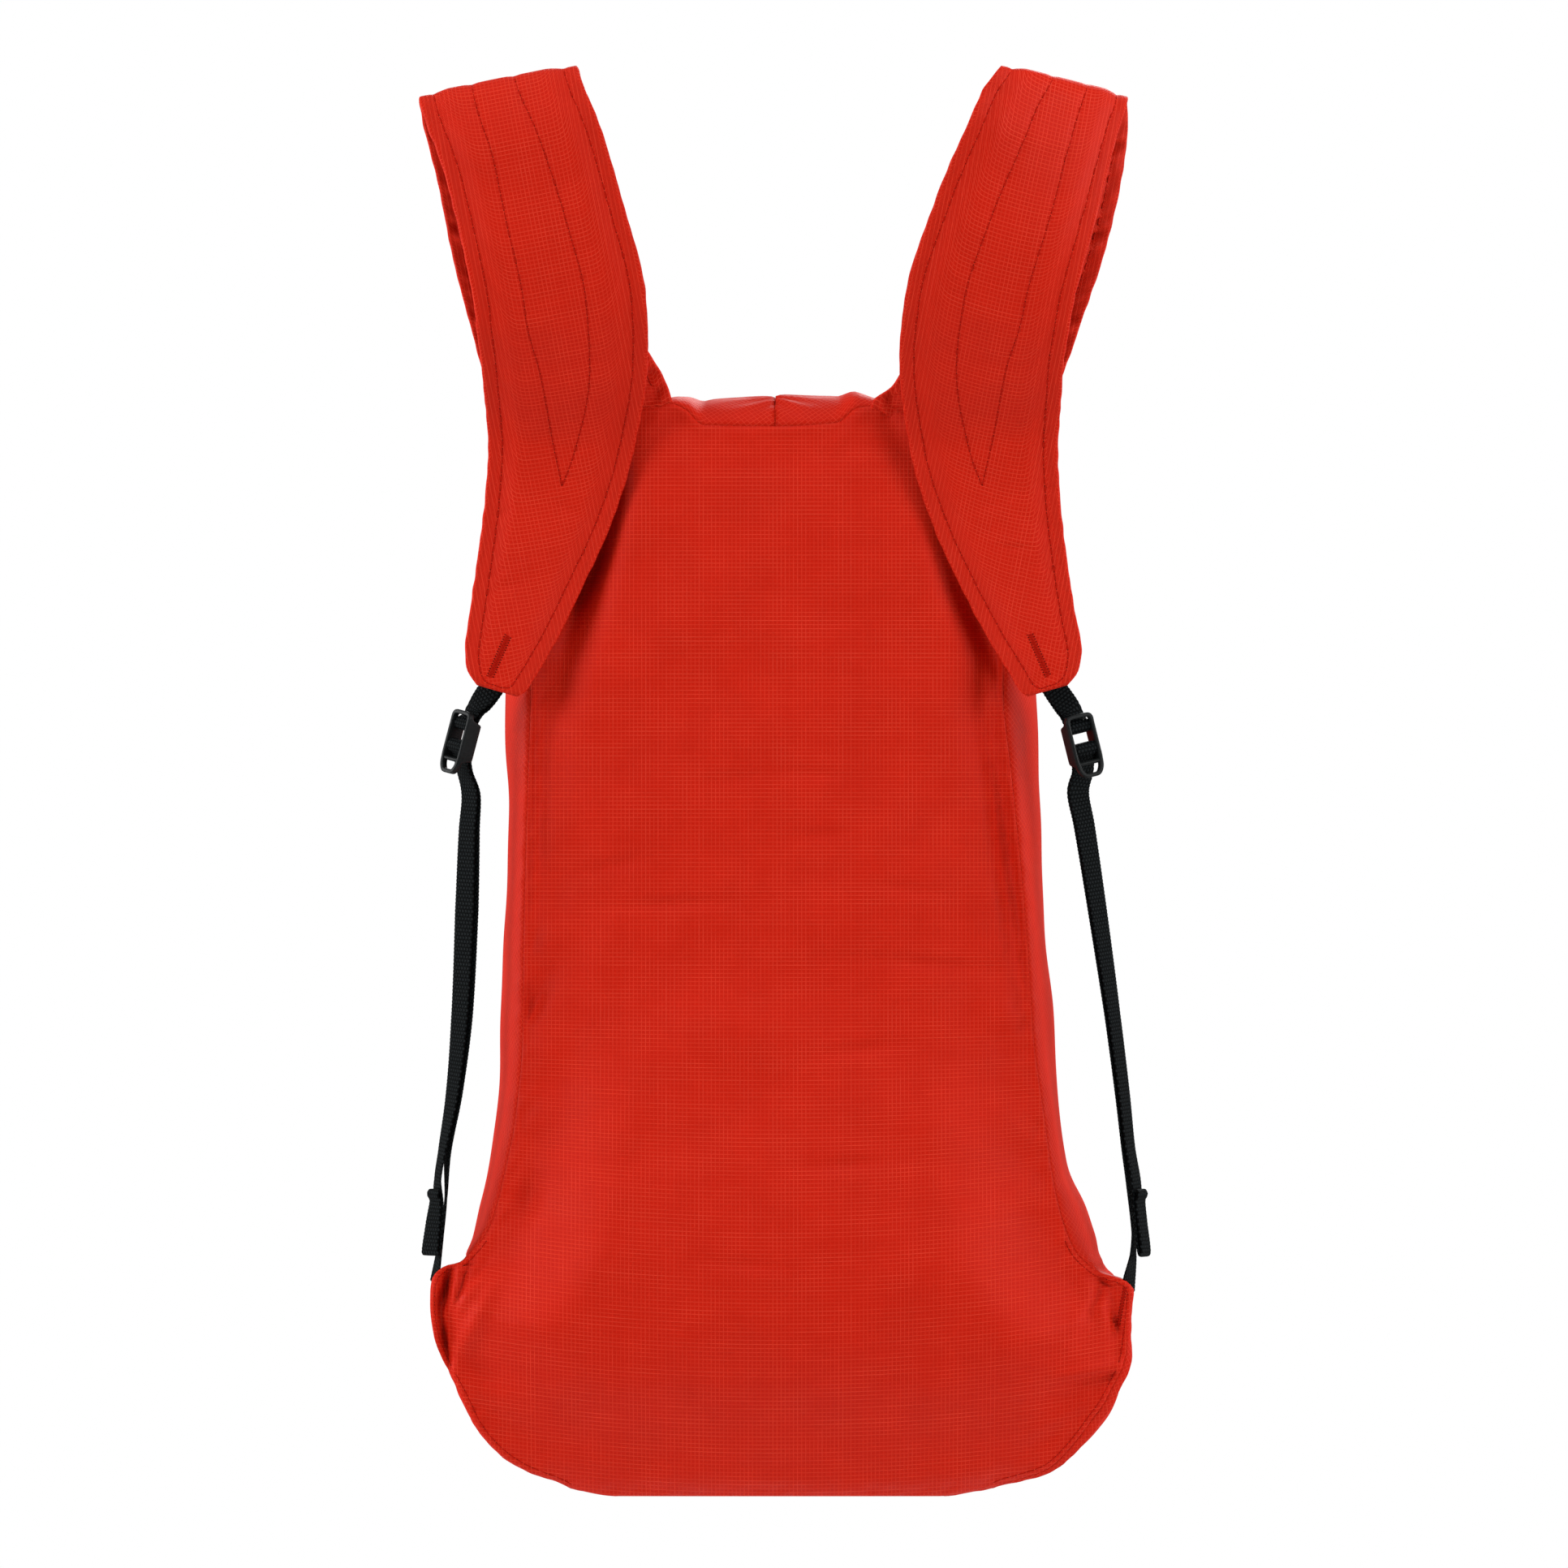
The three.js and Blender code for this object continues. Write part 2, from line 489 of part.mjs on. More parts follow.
// The rim of a panel grid as a loop from the middle of the top, down the left side and up the right side
function rimOf(grid) {
  const top = grid.length - 1;
  const last = grid[0].length - 1;
  const middle = last / 2;
  const loop = [];
  for (let j = middle; j > 0; j -= 1) {
    loop.push(grid[top][j]);
  }
  for (let i = top; i > 0; i -= 1) {
    loop.push(grid[i][0]);
  }
  for (let j = 0; j < last; j += 1) {
    loop.push(grid[0][j]);
  }
  for (let i = 0; i < top; i += 1) {
    loop.push(grid[i][last]);
  }
  for (let j = last; j >= middle; j -= 1) {
    loop.push(grid[top][j]);
  }
  return loop;
}

const backGrid = heights.map((height) => places.map((place) => backPoint(place, height)));
const frontGrid = heights.map((height) => places.map((place) => frontPoint(place, height, MOUTH_GAPE)));
const frontClosed = heights.map((height) => places.map((place) => frontPoint(place, height, 0)));
const backNormals = gridNormals(backGrid);
const frontNormals = gridNormals(frontGrid).map((row) => row.map((n) => n.negate()));
const closedNormals = gridNormals(frontClosed).map((row) => row.map((n) => n.negate()));

// The strip between the two panels: from the back seam to the front seam, swelling out between them,
// and more so near the back seam.
// A wing is a pinch of the strip at the back seam that fades towards the front.
const backRim = rimOf(backGrid);
const backRimNormals = rimOf(backNormals);
const frontRim = rimOf(frontClosed);
const frontRimNormals = rimOf(closedNormals);
const sideStart = PANEL_COLUMNS / 2;
const bottomStart = sideStart + heights.length - 1;
const bottomEnd = bottomStart + PANEL_COLUMNS;
const sideEnd = bottomEnd + heights.length - 1;

function swellAt(index, height) {
  if (index < sideStart || index > sideEnd) {
    const steps = Math.min(index, frontRim.length - 1 - index);
    return readColumn(TOP_SWELL, "share", "swell", steps / sideStart);
  }
  const name = index <= bottomStart ? "swellLeft" : "swellRight";
  return readColumn(BODY, "height", name, height);
}

function rimHeight(index) {
  if (index >= bottomStart && index <= bottomEnd) {
    return bottomHeight;
  }
  if (index <= sideStart || index >= sideEnd) {
    return topHeight;
  }
  return index < bottomStart ? heights[bottomStart - index] : heights[index - bottomEnd];
}

function stripRow(index) {
  const inset = -(CLOTH + SEAM_GAP);
  const back = backRim[index].clone().addScaledVector(backRimNormals[index], inset);
  const front = frontRim[index].clone().addScaledVector(frontRimNormals[index], inset);
  const before = frontRim[Math.max(index - 1, 0)];
  const after = frontRim[Math.min(index + 1, frontRim.length - 1)];
  const run = after.clone().sub(before);
  const out = new THREE.Vector3(run.z, 0, -run.x).normalize();
  const height = rimHeight(index);
  const onLeft = index < bottomStart;
  const wing = readColumn(OUTLINE, "height", onLeft ? "wingLeft" : "wingRight", height);
  const body = back.clone();
  body.x += onLeft ? wing : -wing;
  const swell = swellAt(index, height);
  const onBase = index > bottomStart && index < bottomEnd;
  return GUSSET_STEPS.map((t) => {
    const point = body.clone().lerp(front, t);
    point.addScaledVector(back.clone().sub(body), Math.max(0, 1 - t / WING_FADE) ** 2);
    point.addScaledVector(out, swell * Math.sin(Math.PI * t ** SWELL_LEAN));
    if (onBase && Math.abs(point.x) < BASE_FLAT) {
      point.z = BASE_LIFT;
    }
    return point;
  });
}

const strip = backRim.map((_, index) => stripRow(index));
const stripNormals = gridNormals(strip);

// At its two seams the strip's wall runs along the panel that it meets
function levelWith(normal, panelNormal) {
  normal.addScaledVector(panelNormal, -normal.dot(panelNormal)).normalize();
}
stripNormals.forEach((row, index) => {
  levelWith(row[0], backRimNormals[index]);
  levelWith(row[row.length - 1], frontRimNormals[index]);
});

// Cuts a stretch out of the strip, with its two end rows drawn back by a seam gap
function stripPanel(from, to) {
  const rows = strip.slice(from, to + 1).map((row) => row.map((p) => p.clone()));
  const normals = stripNormals.slice(from, to + 1);
  const last = rows.length - 1;
  const drawBack = (row, next) => row.forEach((p, j) => {
    p.addScaledVector(next[j].clone().sub(p).normalize(), SEAM_GAP);
  });
  drawBack(rows[0], rows[1]);
  drawBack(rows[last], rows[last - 1]);
  return { rows, normals };
}

// The outward side of the strip, found at the middle of the left gusset
const probe = Math.round((sideStart + bottomStart) / 2);
const facing = stripNormals[probe][3].x < 0 ? 1 : -1;

function gusset(from, to) {
  const { rows, normals } = stripPanel(from, to);
  return clothWall(rows, normals.map((row) => row.map((n) => n.clone().multiplyScalar(facing))), CLOTH);
}

// Zip tapes lie inside the two lips of the mouth and stand a little proud of them
function zipTape(edge, inward, proud) {
  const across = [-ZIP_INSIDE, 0, ZIP_PROUD];
  const grid = edge.map((p, i) => across.map((w) => {
    return p.clone().addScaledVector(inward[i], CLOTH + ZIP_GAP).addScaledVector(proud[i], w);
  }));
  const normals = edge.map((_, i) => across.map(() => inward[i].clone().negate()));
  return clothWall(grid, normals, ZIP_TAPE);
}

function mouthColumns(limit) {
  const top = heights.length - 1;
  return places.map((_, j) => j).filter((j) => Math.abs(frontGrid[top][j].x) < limit);
}

function frontZip() {
  const top = heights.length - 1;
  const columns = mouthColumns(MOUTH_HALF - ZIP_SHORT);
  const edge = columns.map((j) => frontGrid[top][j]);
  const inward = columns.map((j) => frontNormals[top][j].clone().negate());
  const proud = columns.map((j) => frontGrid[top][j].clone().sub(frontGrid[top - 1][j]).normalize());
  return zipTape(edge, inward, proud);
}

function gussetZip() {
  const columns = mouthColumns(MOUTH_HALF - ZIP_SHORT);
  const last = GUSSET_STEPS.length - 1;
  const middle = PANEL_COLUMNS / 2;
  const rowOf = (j) => (j <= middle ? middle - j : sideEnd + PANEL_COLUMNS - j);
  const edge = columns.map((j) => strip[rowOf(j)][last]);
  const inward = columns.map((j) => stripNormals[rowOf(j)][last - 1].clone().multiplyScalar(-facing));
  const proud = columns.map((j) => strip[rowOf(j)][last].clone().sub(strip[rowOf(j)][last - 1]).normalize());
  return zipTape(edge, inward, proud);
}

// Direction across a strap or webbing: level at no tilt, its outer end turned away from the wearer by yaw
function acrossAt(side, tilt, yaw) {
  const level = new THREE.Vector3(Math.cos(radians(yaw)), side * Math.sin(radians(yaw)), 0);
  const lift = new THREE.Vector3(0, 0, -side * Math.sin(radians(tilt)));
  return level.multiplyScalar(Math.cos(radians(tilt))).add(lift);
}

function strap(table, side) {
  const rows = numbered(table);
  const count = (rows.length - 1) * STRAP_STEPS;
  const read = (column, i) => readColumn(rows, "station", column, i / STRAP_STEPS);
  const middles = Array.from({ length: count + 1 }, (_, i) => {
    return new THREE.Vector3(read("x", i), read("y", i), read("height", i));
  });
  const loops = middles.map((middle, i) => {
    const across = acrossAt(side, read("tilt", i), read("yaw", i));
    const run = middles[Math.min(i + 1, count)].clone().sub(middles[Math.max(i - 1, 0)]).normalize();
    const out = run.cross(across).normalize();
    const half = read("width", i) / 2;
    const pad = read("pad", i);
    const upper = STRAP_SECTION.map((s) => {
      const thick = STRAP_EDGE + STRAP_PAD * pad * s.fill;
      return middle.clone().addScaledVector(across, half * s.across).addScaledVector(out, thick);
    });
    const lower = STRAP_SECTION.map((s) => {
      const thick = STRAP_EDGE + STRAP_PAD * pad * s.fill;
      return middle.clone().addScaledVector(across, half * s.across).addScaledVector(out, -thick);
    });
    return [...upper, ...lower.reverse()];
  });
  return sweptBand(loops);
}

// Buckle frame: an outline with one long window, cut away behind its two ends, and three bars across it
function manifoldOf(geometry) {
  const bare = geometry.clone();
  bare.deleteAttribute("normal");
  bare.deleteAttribute("uv");
  const merged = mergeVertices(bare);
  const vertProperties = new Float32Array(merged.attributes.position.array);
  const triVerts = new Uint32Array(merged.index.array);
  return new wasm.Manifold(new wasm.Mesh({ numProp: 3, vertProperties, triVerts }));
}

function geometryOf(manifold) {
  const mesh = manifold.getMesh();
  const geometry = new THREE.BufferGeometry();
  geometry.setAttribute("position", new THREE.BufferAttribute(mesh.vertProperties, 3));
  geometry.setIndex(new THREE.BufferAttribute(mesh.triVerts, 1));
  geometry.computeVertexNormals();
  return geometry;
}

function lockOutline(inset) {
  const ends = [LOCK_OUTLINE[0].along, LOCK_OUTLINE[LOCK_OUTLINE.length - 1].along];
  const points = LOCK_OUTLINE.map((p) => {
    const along = clamp(p.along, ends[0] + inset, ends[1] - inset);
    return new THREE.Vector2(p.half - inset, along);
  });
  const mirrored = points.map((p) => new THREE.Vector2(-p.x, p.y)).reverse();
  return [...points, ...mirrored];
}

function lockBar(bar) {
  const length = 2 * (LOCK_OUTLINE[2].half - LOCK_RIM / 2);
  const geometry = new THREE.CylinderGeometry(bar.radius, bar.radius, length, BAR_SIDES);
  geometry.rotateZ(Math.PI / 2);
  geometry.translate(0, bar.along, bar.out);
  return manifoldOf(geometry);
}

function lockGeometry() {
  const shape = new THREE.Shape(lockOutline(0));
  shape.holes.push(new THREE.Path(lockOutline(LOCK_RIM)));
  const frame = new THREE.ExtrudeGeometry(shape, { depth: LOCK_DEPTH, bevelEnabled: false });
  frame.translate(0, 0, -LOCK_DEPTH / 2);
  const behind = LOCK_DEPTH / 2 + LOCK_FRONT + 1;
  const topCut = new THREE.BoxGeometry(2 * LOCK_CLEAR, LOCK_CUT, behind);
  topCut.translate(0, LOCK_TOP_CUT + LOCK_CUT / 2, LOCK_FRONT - behind / 2);
  const bottomCut = new THREE.BoxGeometry(4 * LOCK_CLEAR, LOCK_CUT, behind);
  bottomCut.translate(0, LOCK_BOTTOM_CUT - LOCK_CUT / 2, LOCK_FRONT - behind / 2);
  const cut = manifoldOf(frame).subtract(manifoldOf(topCut)).subtract(manifoldOf(bottomCut));
  return geometryOf(cut.add(lockBar(FIXED_BAR)).add(lockBar(MIDDLE_BAR)).add(lockBar(THUMB_BAR)));
}

// The buckle's place: its length leans with the webbing, and its outer side is turned by yaw
function lockMatrix(lock, side) {
  const lean = radians(lock.lean);
  const along = new THREE.Vector3(-side * Math.sin(lean), 0, Math.cos(lean));
  const face = new THREE.Vector3(side * Math.sin(radians(lock.yaw)), -Math.cos(radians(lock.yaw)), 0);
  face.addScaledVector(along, -face.dot(along)).normalize();
  const across = along.clone().cross(face);
  const matrix = new THREE.Matrix4().makeBasis(across, along, face);
  return matrix.setPosition(lock.x, lock.y, lock.height);
}

// Webbing stations inside the buckle and outside it, as points with a direction across and a thickness
function lockStations(path, matrix) {
  const across = new THREE.Vector3().setFromMatrixColumn(matrix, 0);
  return path.map((p) => ({
    point: new THREE.Vector3(0, p.along, p.out).applyMatrix4(matrix),
    across: across.clone(),
    thick: WEBBING_THICK,
  }));
}

function freeStations(path, side) {
  return path.map((p) => ({
    point: new THREE.Vector3(p.x, p.y, p.height),
    across: acrossAt(side, 0, p.yaw),
    thick: p.thick ?? WEBBING_THICK,
  }));
}

// A webbing ribbon through its stations, smooth along its length
function ribbon(stations, steps) {
  const curve = new THREE.CatmullRomCurve3(stations.map((s) => s.point), false, "centripetal");
  const count = (stations.length - 1) * steps;
  const loops = Array.from({ length: count + 1 }, (_, i) => {
    const from = stations[Math.floor(i / steps)];
    const to = stations[Math.min(Math.ceil(i / steps), stations.length - 1)];
    const share = (i % steps) / steps;
    const point = curve.getPoint(i / count);
    const run = curve.getTangent(i / count);
    const across = from.across.clone().lerp(to.across, share);
    across.addScaledVector(run, -across.dot(run)).normalize();
    const out = run.clone().cross(across);
    const half = WEBBING_WIDTH / 2;
    const thick = mix(from.thick, to.thick, share) / 2;
    const corner = (w, t) => point.clone().addScaledVector(across, w * half).addScaledVector(out, t * thick);
    return [corner(-1, 1), corner(1, 1), corner(1, -1), corner(-1, -1)];
  });
  return sweptBand(loops);
}

// Two short stations behind the strap tip, where the layers of the tip webbing are sewn on
function tipStations(tip, side, layer) {
  const lean = radians(tip.lean);
  const along = new THREE.Vector3(-side * Math.sin(lean), 0, Math.cos(lean));
  const across = acrossAt(side, -tip.lean, 0);
  const start = new THREE.Vector3(tip.x, tip.y + layer, tip.height);
  const slant = new THREE.Vector3(0, TIP_SLANT, 0);
  return [1, 0].map((share) => ({
    point: start.clone().addScaledVector(along, share * TIP_SEWN).addScaledVector(slant, share),
    across: across.clone(),
    thick: WEBBING_THICK,
  }));
}

const pack = new THREE.Group();
pack.position.set(0, -HANG_DEPTH, -HANG_HEIGHT);

function addPiece(name, geometry, finish, parent = pack) {
  const material = new THREE.MeshStandardMaterial({ ...finish, metalness: 0 });
  const mesh = new THREE.Mesh(geometry, material);
  mesh.name = name;
  parent.add(mesh);
}

addPiece("back_panel", clothWall(backGrid, backNormals, CLOTH), CLOTH_FINISH);
addPiece("front_panel", clothWall(frontGrid, frontNormals, CLOTH), CLOTH_FINISH);
addPiece("gusset_left", gusset(0, bottomStart), CLOTH_FINISH);
addPiece("bottom_panel", gusset(bottomStart, bottomEnd), CLOTH_FINISH);
addPiece("gusset_right", gusset(bottomEnd, strip.length - 1), CLOTH_FINISH);
addPiece("zip_tape_front", frontZip(), WEBBING_FINISH);
addPiece("zip_tape_gusset", gussetZip(), WEBBING_FINISH);

for (const { name, side, strap: table, lock, tip, loaded, tail } of SIDES) {
  const matrix = lockMatrix(lock, side);
  const place = new THREE.Group();
  place.applyMatrix4(matrix);
  pack.add(place);
  addPiece(`strap_${name}`, strap(table, side), CLOTH_FINISH);
  addPiece(`ladder_lock_${name}`, lockGeometry(), BUCKLE_FINISH, place);
  const tipPath = [
    ...tipStations(tip, side, 0),
    ...lockStations(TIP_LOOP, matrix),
    ...tipStations(tip, side, TIP_LAYERS).reverse(),
  ];
  addPiece(`tip_webbing_${name}`, ribbon(tipPath, TIP_STEPS), WEBBING_FINISH);
  const adjuster = [
    ...freeStations(loaded, side),
    ...lockStations([...ADJUSTER_UP, ...ADJUSTER_OVER, ...ADJUSTER_DOWN], matrix),
    ...freeStations(tail, side),
  ];
  addPiece(`adjuster_webbing_${name}`, ribbon(adjuster, RIBBON_STEPS), WEBBING_FINISH);
}

export default pack;
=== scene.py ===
# %% [markdown]
# # A lightweight backpack, hung up by its straps
#
# The real pack is sewn from thin red ripstop, a nylon with a fine square grid of thicker threads. Two padded
# straps fold over at the top, black webbing runs from their tips through ladder-lock buckles to a wing low on
# each side, and a zip closes the mouth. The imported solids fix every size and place. This lesson lays finer
# surfaces over them: each one is a formula on a grid of two parameters, worked out with numpy in one go.

import bmesh
import bpy
import numpy as np
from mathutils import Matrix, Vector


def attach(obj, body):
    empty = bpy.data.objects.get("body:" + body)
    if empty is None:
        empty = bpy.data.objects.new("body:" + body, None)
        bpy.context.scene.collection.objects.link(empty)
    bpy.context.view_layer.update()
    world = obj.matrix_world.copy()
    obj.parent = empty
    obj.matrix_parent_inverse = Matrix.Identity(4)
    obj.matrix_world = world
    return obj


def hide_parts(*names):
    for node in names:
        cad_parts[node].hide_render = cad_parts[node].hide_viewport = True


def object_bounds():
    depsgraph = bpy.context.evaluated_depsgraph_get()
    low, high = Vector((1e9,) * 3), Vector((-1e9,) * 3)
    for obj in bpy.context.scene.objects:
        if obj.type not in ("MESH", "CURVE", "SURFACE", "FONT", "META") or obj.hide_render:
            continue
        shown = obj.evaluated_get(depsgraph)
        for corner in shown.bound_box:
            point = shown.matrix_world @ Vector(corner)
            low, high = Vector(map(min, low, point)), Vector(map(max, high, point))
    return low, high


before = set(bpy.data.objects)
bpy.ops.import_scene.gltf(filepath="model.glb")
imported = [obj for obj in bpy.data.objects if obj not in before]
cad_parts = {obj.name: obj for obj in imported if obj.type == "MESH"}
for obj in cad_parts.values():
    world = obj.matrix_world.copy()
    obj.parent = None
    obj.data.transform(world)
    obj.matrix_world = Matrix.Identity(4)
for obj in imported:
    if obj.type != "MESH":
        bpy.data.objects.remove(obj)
cad_low, cad_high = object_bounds()
print("CAD box, metres:", [round(v, 4) for v in (*cad_low, *cad_high)])

# %% [markdown]
# ## Units and tables
#
# A sewn thing is easiest to measure from its base, in millimetres: x to the right, y away from the wearer and
# height above the base. The frame's origin is where the straps hang, so one shift and one scale turn bag
# millimetres into the frame's metres. The pattern's sizes are short tables with named columns.

# %% Millimetres of the bag to metres of the frame
HANG = np.array([0.0, 33.0, -611.0])
MM = 0.001
SIDE = {"left": -1, "right": 1}


def to_frame(points):
    """Moves bag millimetres to the hanging point and scales them to metres."""
    return (np.asarray(points, float) + HANG) * MM


def table(names, rows):
    """Named columns, each a whole array, from rows of numbers."""
    return dict(zip(names.split(), np.array(rows, float).T))


# %% The back panel's outline, with the part of each half that is wing, and its dipping top seam
OUTLINE = table("height left right wing_left wing_right", [
    (4.5, 90, 95, 0, 0), (12, 110.5, 120, 0, 0), (20, 122.5, 130, 0, 0), (31, 131.5, 138, 0, 0),
    (44, 137.5, 144.5, 1, 2), (56, 143.3, 148.7, 5, 5), (70, 149, 153, 10, 9), (84, 150.7, 154.8, 12, 11),
    (90, 150.6, 155.3, 12.5, 12), (94.5, 150, 151, 12.5, 8), (98, 148, 139.6, 11, 1),
    (100.5, 144, 136, 8, 0), (102, 138, 134.3, 3, 0), (106, 133.5, 130.2, 0, 0),
    (113, 127.6, 126.6, 0, 0), (122, 123.2, 123.4, 0, 0), (140, 118.6, 119.5, 0, 0),
    (165, 113.6, 116, 0, 0), (200, 110.5, 111.3, 0, 0), (240, 110, 108.7, 0, 0), (280, 109, 105.2, 0, 0),
    (315, 108, 101.6, 0, 0), (350, 107, 98.1, 0, 0), (390, 107, 98.5, 0, 0), (430, 109, 104, 0, 0),
    (454, 111, 109, 0, 0),
])
TOP_SEAM = table("x height", [
    (-112, 454), (-54, 473.6), (-46, 475.2), (-40, 472.8), (-32, 466), (0, 465.5), (26, 467),
    (35, 473.5), (41.5, 474.3), (50, 472.6), (110, 455),
])
BOTTOM, TOP = OUTLINE["height"][[0, -1]]
widest = (OUTLINE["left"] + OUTLINE["right"]).max()
print("back panel:", widest, "mm wide,", TOP - BOTTOM, "mm up its side seam")

# %% How far the back seam lies inside the outline, and how far the gusset shows past the seam
TUCK = table("height left right", [
    (4.5, 0, 0.6), (12, 0.8, 2.8), (20, 1.4, 4), (33, 1.2, 3.1), (40, 1, 1.5), (48, 0.8, 0.6),
    (56, 0.3, -0.9), (61, 0.2, -0.6), (70, 0, 0.7), (86, 0, 1.1), (94.5, 0, 0.4), (98, 0, 0), (454, 0, 0),
])
LIP = table("height left right", [
    (4.5, 0, 0.6), (12, 0.8, 2.6), (20, 1.4, 3.8), (33, 1.2, 4.6), (40, 1, 4.6), (48, 0.8, 4.2),
    (56, 0.3, 4.2), (61, 0.2, 4.4), (66, 0, 2.6), (70, 0, 1.9), (78, 0, 1), (86, 0, 1.3), (94.5, 0, 0.5),
    (98, 0, 0), (454, 0, 0),
])

# %% The filled body behind it: seam, crown, front seam, belly and the swell of each gusset
BODY = table("height seam crown front depth belly swell_left swell_right", [
    (4.5, 12, 2, 74, 90, 0, 0, 0), (12, 6, 4, 92, 105, 4, 2, 4), (25, 2, 6, 106, 120, 9, 5, 8.6),
    (50, -2, 8, 117, 133, 14, 7.5, 13.6), (86, -3.6, 9.6, 119, 142.5, 17.8, 6, 11.4),
    (100, -4, 10, 119, 145, 19, 4.2, 10.5), (110, -3.9, 10, 118.6, 146, 19.5, 6.6, 15.6),
    (122, -3.7, 10, 118, 147, 20, 9, 15.2), (140, -3.4, 10, 116, 147, 21, 8.8, 8.8),
    (165, -3, 10, 114, 147, 21, 8.8, 8), (200, -2.5, 9.5, 111, 144, 21, 10.6, 10),
    (240, -2, 9, 107, 140, 20, 10.4, 9.6), (300, -1, 8, 103, 131, 18, 10.5, 11.8),
    (350, 0, 7, 100, 121, 14, 14, 14.8), (410, 2, 6, 97, 103, 8, 10, 12), (454, 5, 3, 92, 82, 0, 8, 8),
])
TOP_SWELL = table("share swell", [
    (0, 14.8), (0.11, 14.8), (0.22, 13.8), (0.33, 6.6), (0.6, 3.6), (1, 7),
])

# %% [markdown]
# A table is read with a monotone cubic. A plain spline would overshoot next to the sharp wing corners, and
# straight lines would show as facets, so the slope at each row is the harmonic mean of its two neighbours.

# %% Reading a table, and a few curves
def read(rows, key, column, at):
    """Cubic between rows, with the harmonic mean of the two neighbouring rises as the slope at each row."""
    x, y = rows[key], rows[column]
    rise = np.diff(y) / np.diff(x)
    before, after = rise[:-1], rise[1:]
    same = before * after > 0
    mean = np.where(same, 2 * before * after / np.where(same, before + after, 1), 0)
    slope = np.concatenate([rise[:1], mean, rise[-1:]])
    at = np.clip(at, x[0], x[-1])
    i = np.clip(np.searchsorted(x, at, side="right") - 1, 0, len(x) - 2)
    step = x[i + 1] - x[i]
    t = (at - x[i]) / step
    leave, arrive = t * (1 - t) ** 2 * slope[i], t * t * (t - 1) * slope[i + 1]
    return y[i] + (y[i + 1] - y[i]) * t * t * (3 - 2 * t) + step * (leave + arrive)


def smooth(v, low, high):
    """Rises from 0 at low to 1 at high, level at both ends."""
    t = np.clip((v - low) / (high - low), 0, 1)
    return t * t * (3 - 2 * t)


def lengths(curve):
    """Distance along a curve of points, from its start to each of them."""
    steps = np.linalg.norm(np.diff(curve, axis=0), axis=-1)
    return np.concatenate([[0], np.cumsum(steps)])


def curve_at(places, run, curve):
    """A curve's points at places, where run holds the place of each of its own points."""
    return np.stack([np.interp(places, run, column) for column in curve.T], -1)


def angles(count):
    """Angles at even steps round a circle."""
    return np.linspace(0, 2 * np.pi, count, endpoint=False)


def unit(vectors):
    """Vectors of length one."""
    return vectors / np.maximum(np.linalg.norm(vectors, axis=-1, keepdims=True), 1e-9)


def normals_of(grid):
    """Unit cross product of a grid's differences along its columns and its rows."""
    return unit(np.cross(np.gradient(grid, axis=1), np.gradient(grid, axis=0)))


# %% [markdown]
# ## From arrays to pieces
#
# Blender wants a list of points and a list of faces. One builder turns a grid into quads, another gives each
# point its place on the flat cloth as a UV map in metres, so that the weave follows the cloth as it bends.

# %% Builders for meshes
WELD = 1e-6


def quads_of(rows, columns, wrap=False):
    """Four neighbouring points for each cell of a grid; wrap joins the last column to the first."""
    index = np.arange(rows * columns).reshape(rows, columns)
    if wrap:
        index = np.hstack([index, index[:, :1]])
    corners = [index[:-1, :-1], index[:-1, 1:], index[1:, 1:], index[1:, :-1]]
    return np.stack(corners, -1).reshape(-1, 4)


def make_object(name, points, faces, flat=None):
    """A smooth mesh object at the origin, from bag millimetres; flat millimetres become the UV map."""
    mesh = bpy.data.meshes.new(name)
    mesh.from_pydata(to_frame(points).reshape(-1, 3).tolist(), [], faces)
    if flat is not None:
        corner = np.zeros(len(mesh.loops), np.int32)
        mesh.loops.foreach_get("vertex_index", corner)
        layer = mesh.uv_layers.new(name="flat")
        layer.data.foreach_set("uv", (flat.reshape(-1, 2)[corner] * MM).astype(np.float32).ravel())
    mesh.polygons.foreach_set("use_smooth", np.ones(len(mesh.polygons), bool))
    mesh.update()
    made = bpy.data.objects.new(name, mesh)
    bpy.context.scene.collection.objects.link(made)
    return made


def sheet(name, grid, flat=None, wrap=False, flip=False):
    """An object from a grid of points, each cell a quad; flip turns the faces over."""
    faces = quads_of(*grid.shape[:2], wrap=wrap)
    return make_object(name, grid, (faces[:, ::-1] if flip else faces).tolist(), flat)


def dress(made, material, slot, *nodes):
    """Gives a piece its material and its body, and hides the solids it stands for; slot is not used."""
    made.data.materials.append(material)
    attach(made, "root")
    if nodes:
        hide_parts(*nodes)
    print(made.name, len(made.data.vertices), "points")
    return made


def outward(made):
    """Closes coincident points and turns every face of a closed shell outwards."""
    shell = bmesh.new()
    shell.from_mesh(made.data)
    bmesh.ops.remove_doubles(shell, verts=shell.verts, dist=WELD)
    bmesh.ops.recalc_face_normals(shell, faces=shell.faces)
    shell.to_mesh(made.data)
    shell.free()
    return made


# %% [markdown]
# ## The ripstop finish
#
# Ripstop has a thicker thread every couple of millimetres both ways, and its thread colour is paler than the
# ground: a painted highlight for the light that the raised thread catches. An image would do, but a formula
# stays sharp at any distance: the distance to the nearest whole number of pitches gives the lines. It is a
# node group, because panels and straps share it with different turns, line widths and streaks. The pale bloom
# at grazing angles is sheen, set on the shader.

# %% Small helpers for node trees
def add_node(tree, kind, inputs=(), **settings):
    """A node with its settings, and its inputs linked or set by name or number."""
    made = tree.nodes.new(kind)
    for key, value in settings.items():
        setattr(made, key, value)
    for key, value in dict(inputs).items():
        if isinstance(value, bpy.types.NodeSocket):
            tree.links.new(value, made.inputs[key])
        else:
            made.inputs[key].default_value = value
    return made


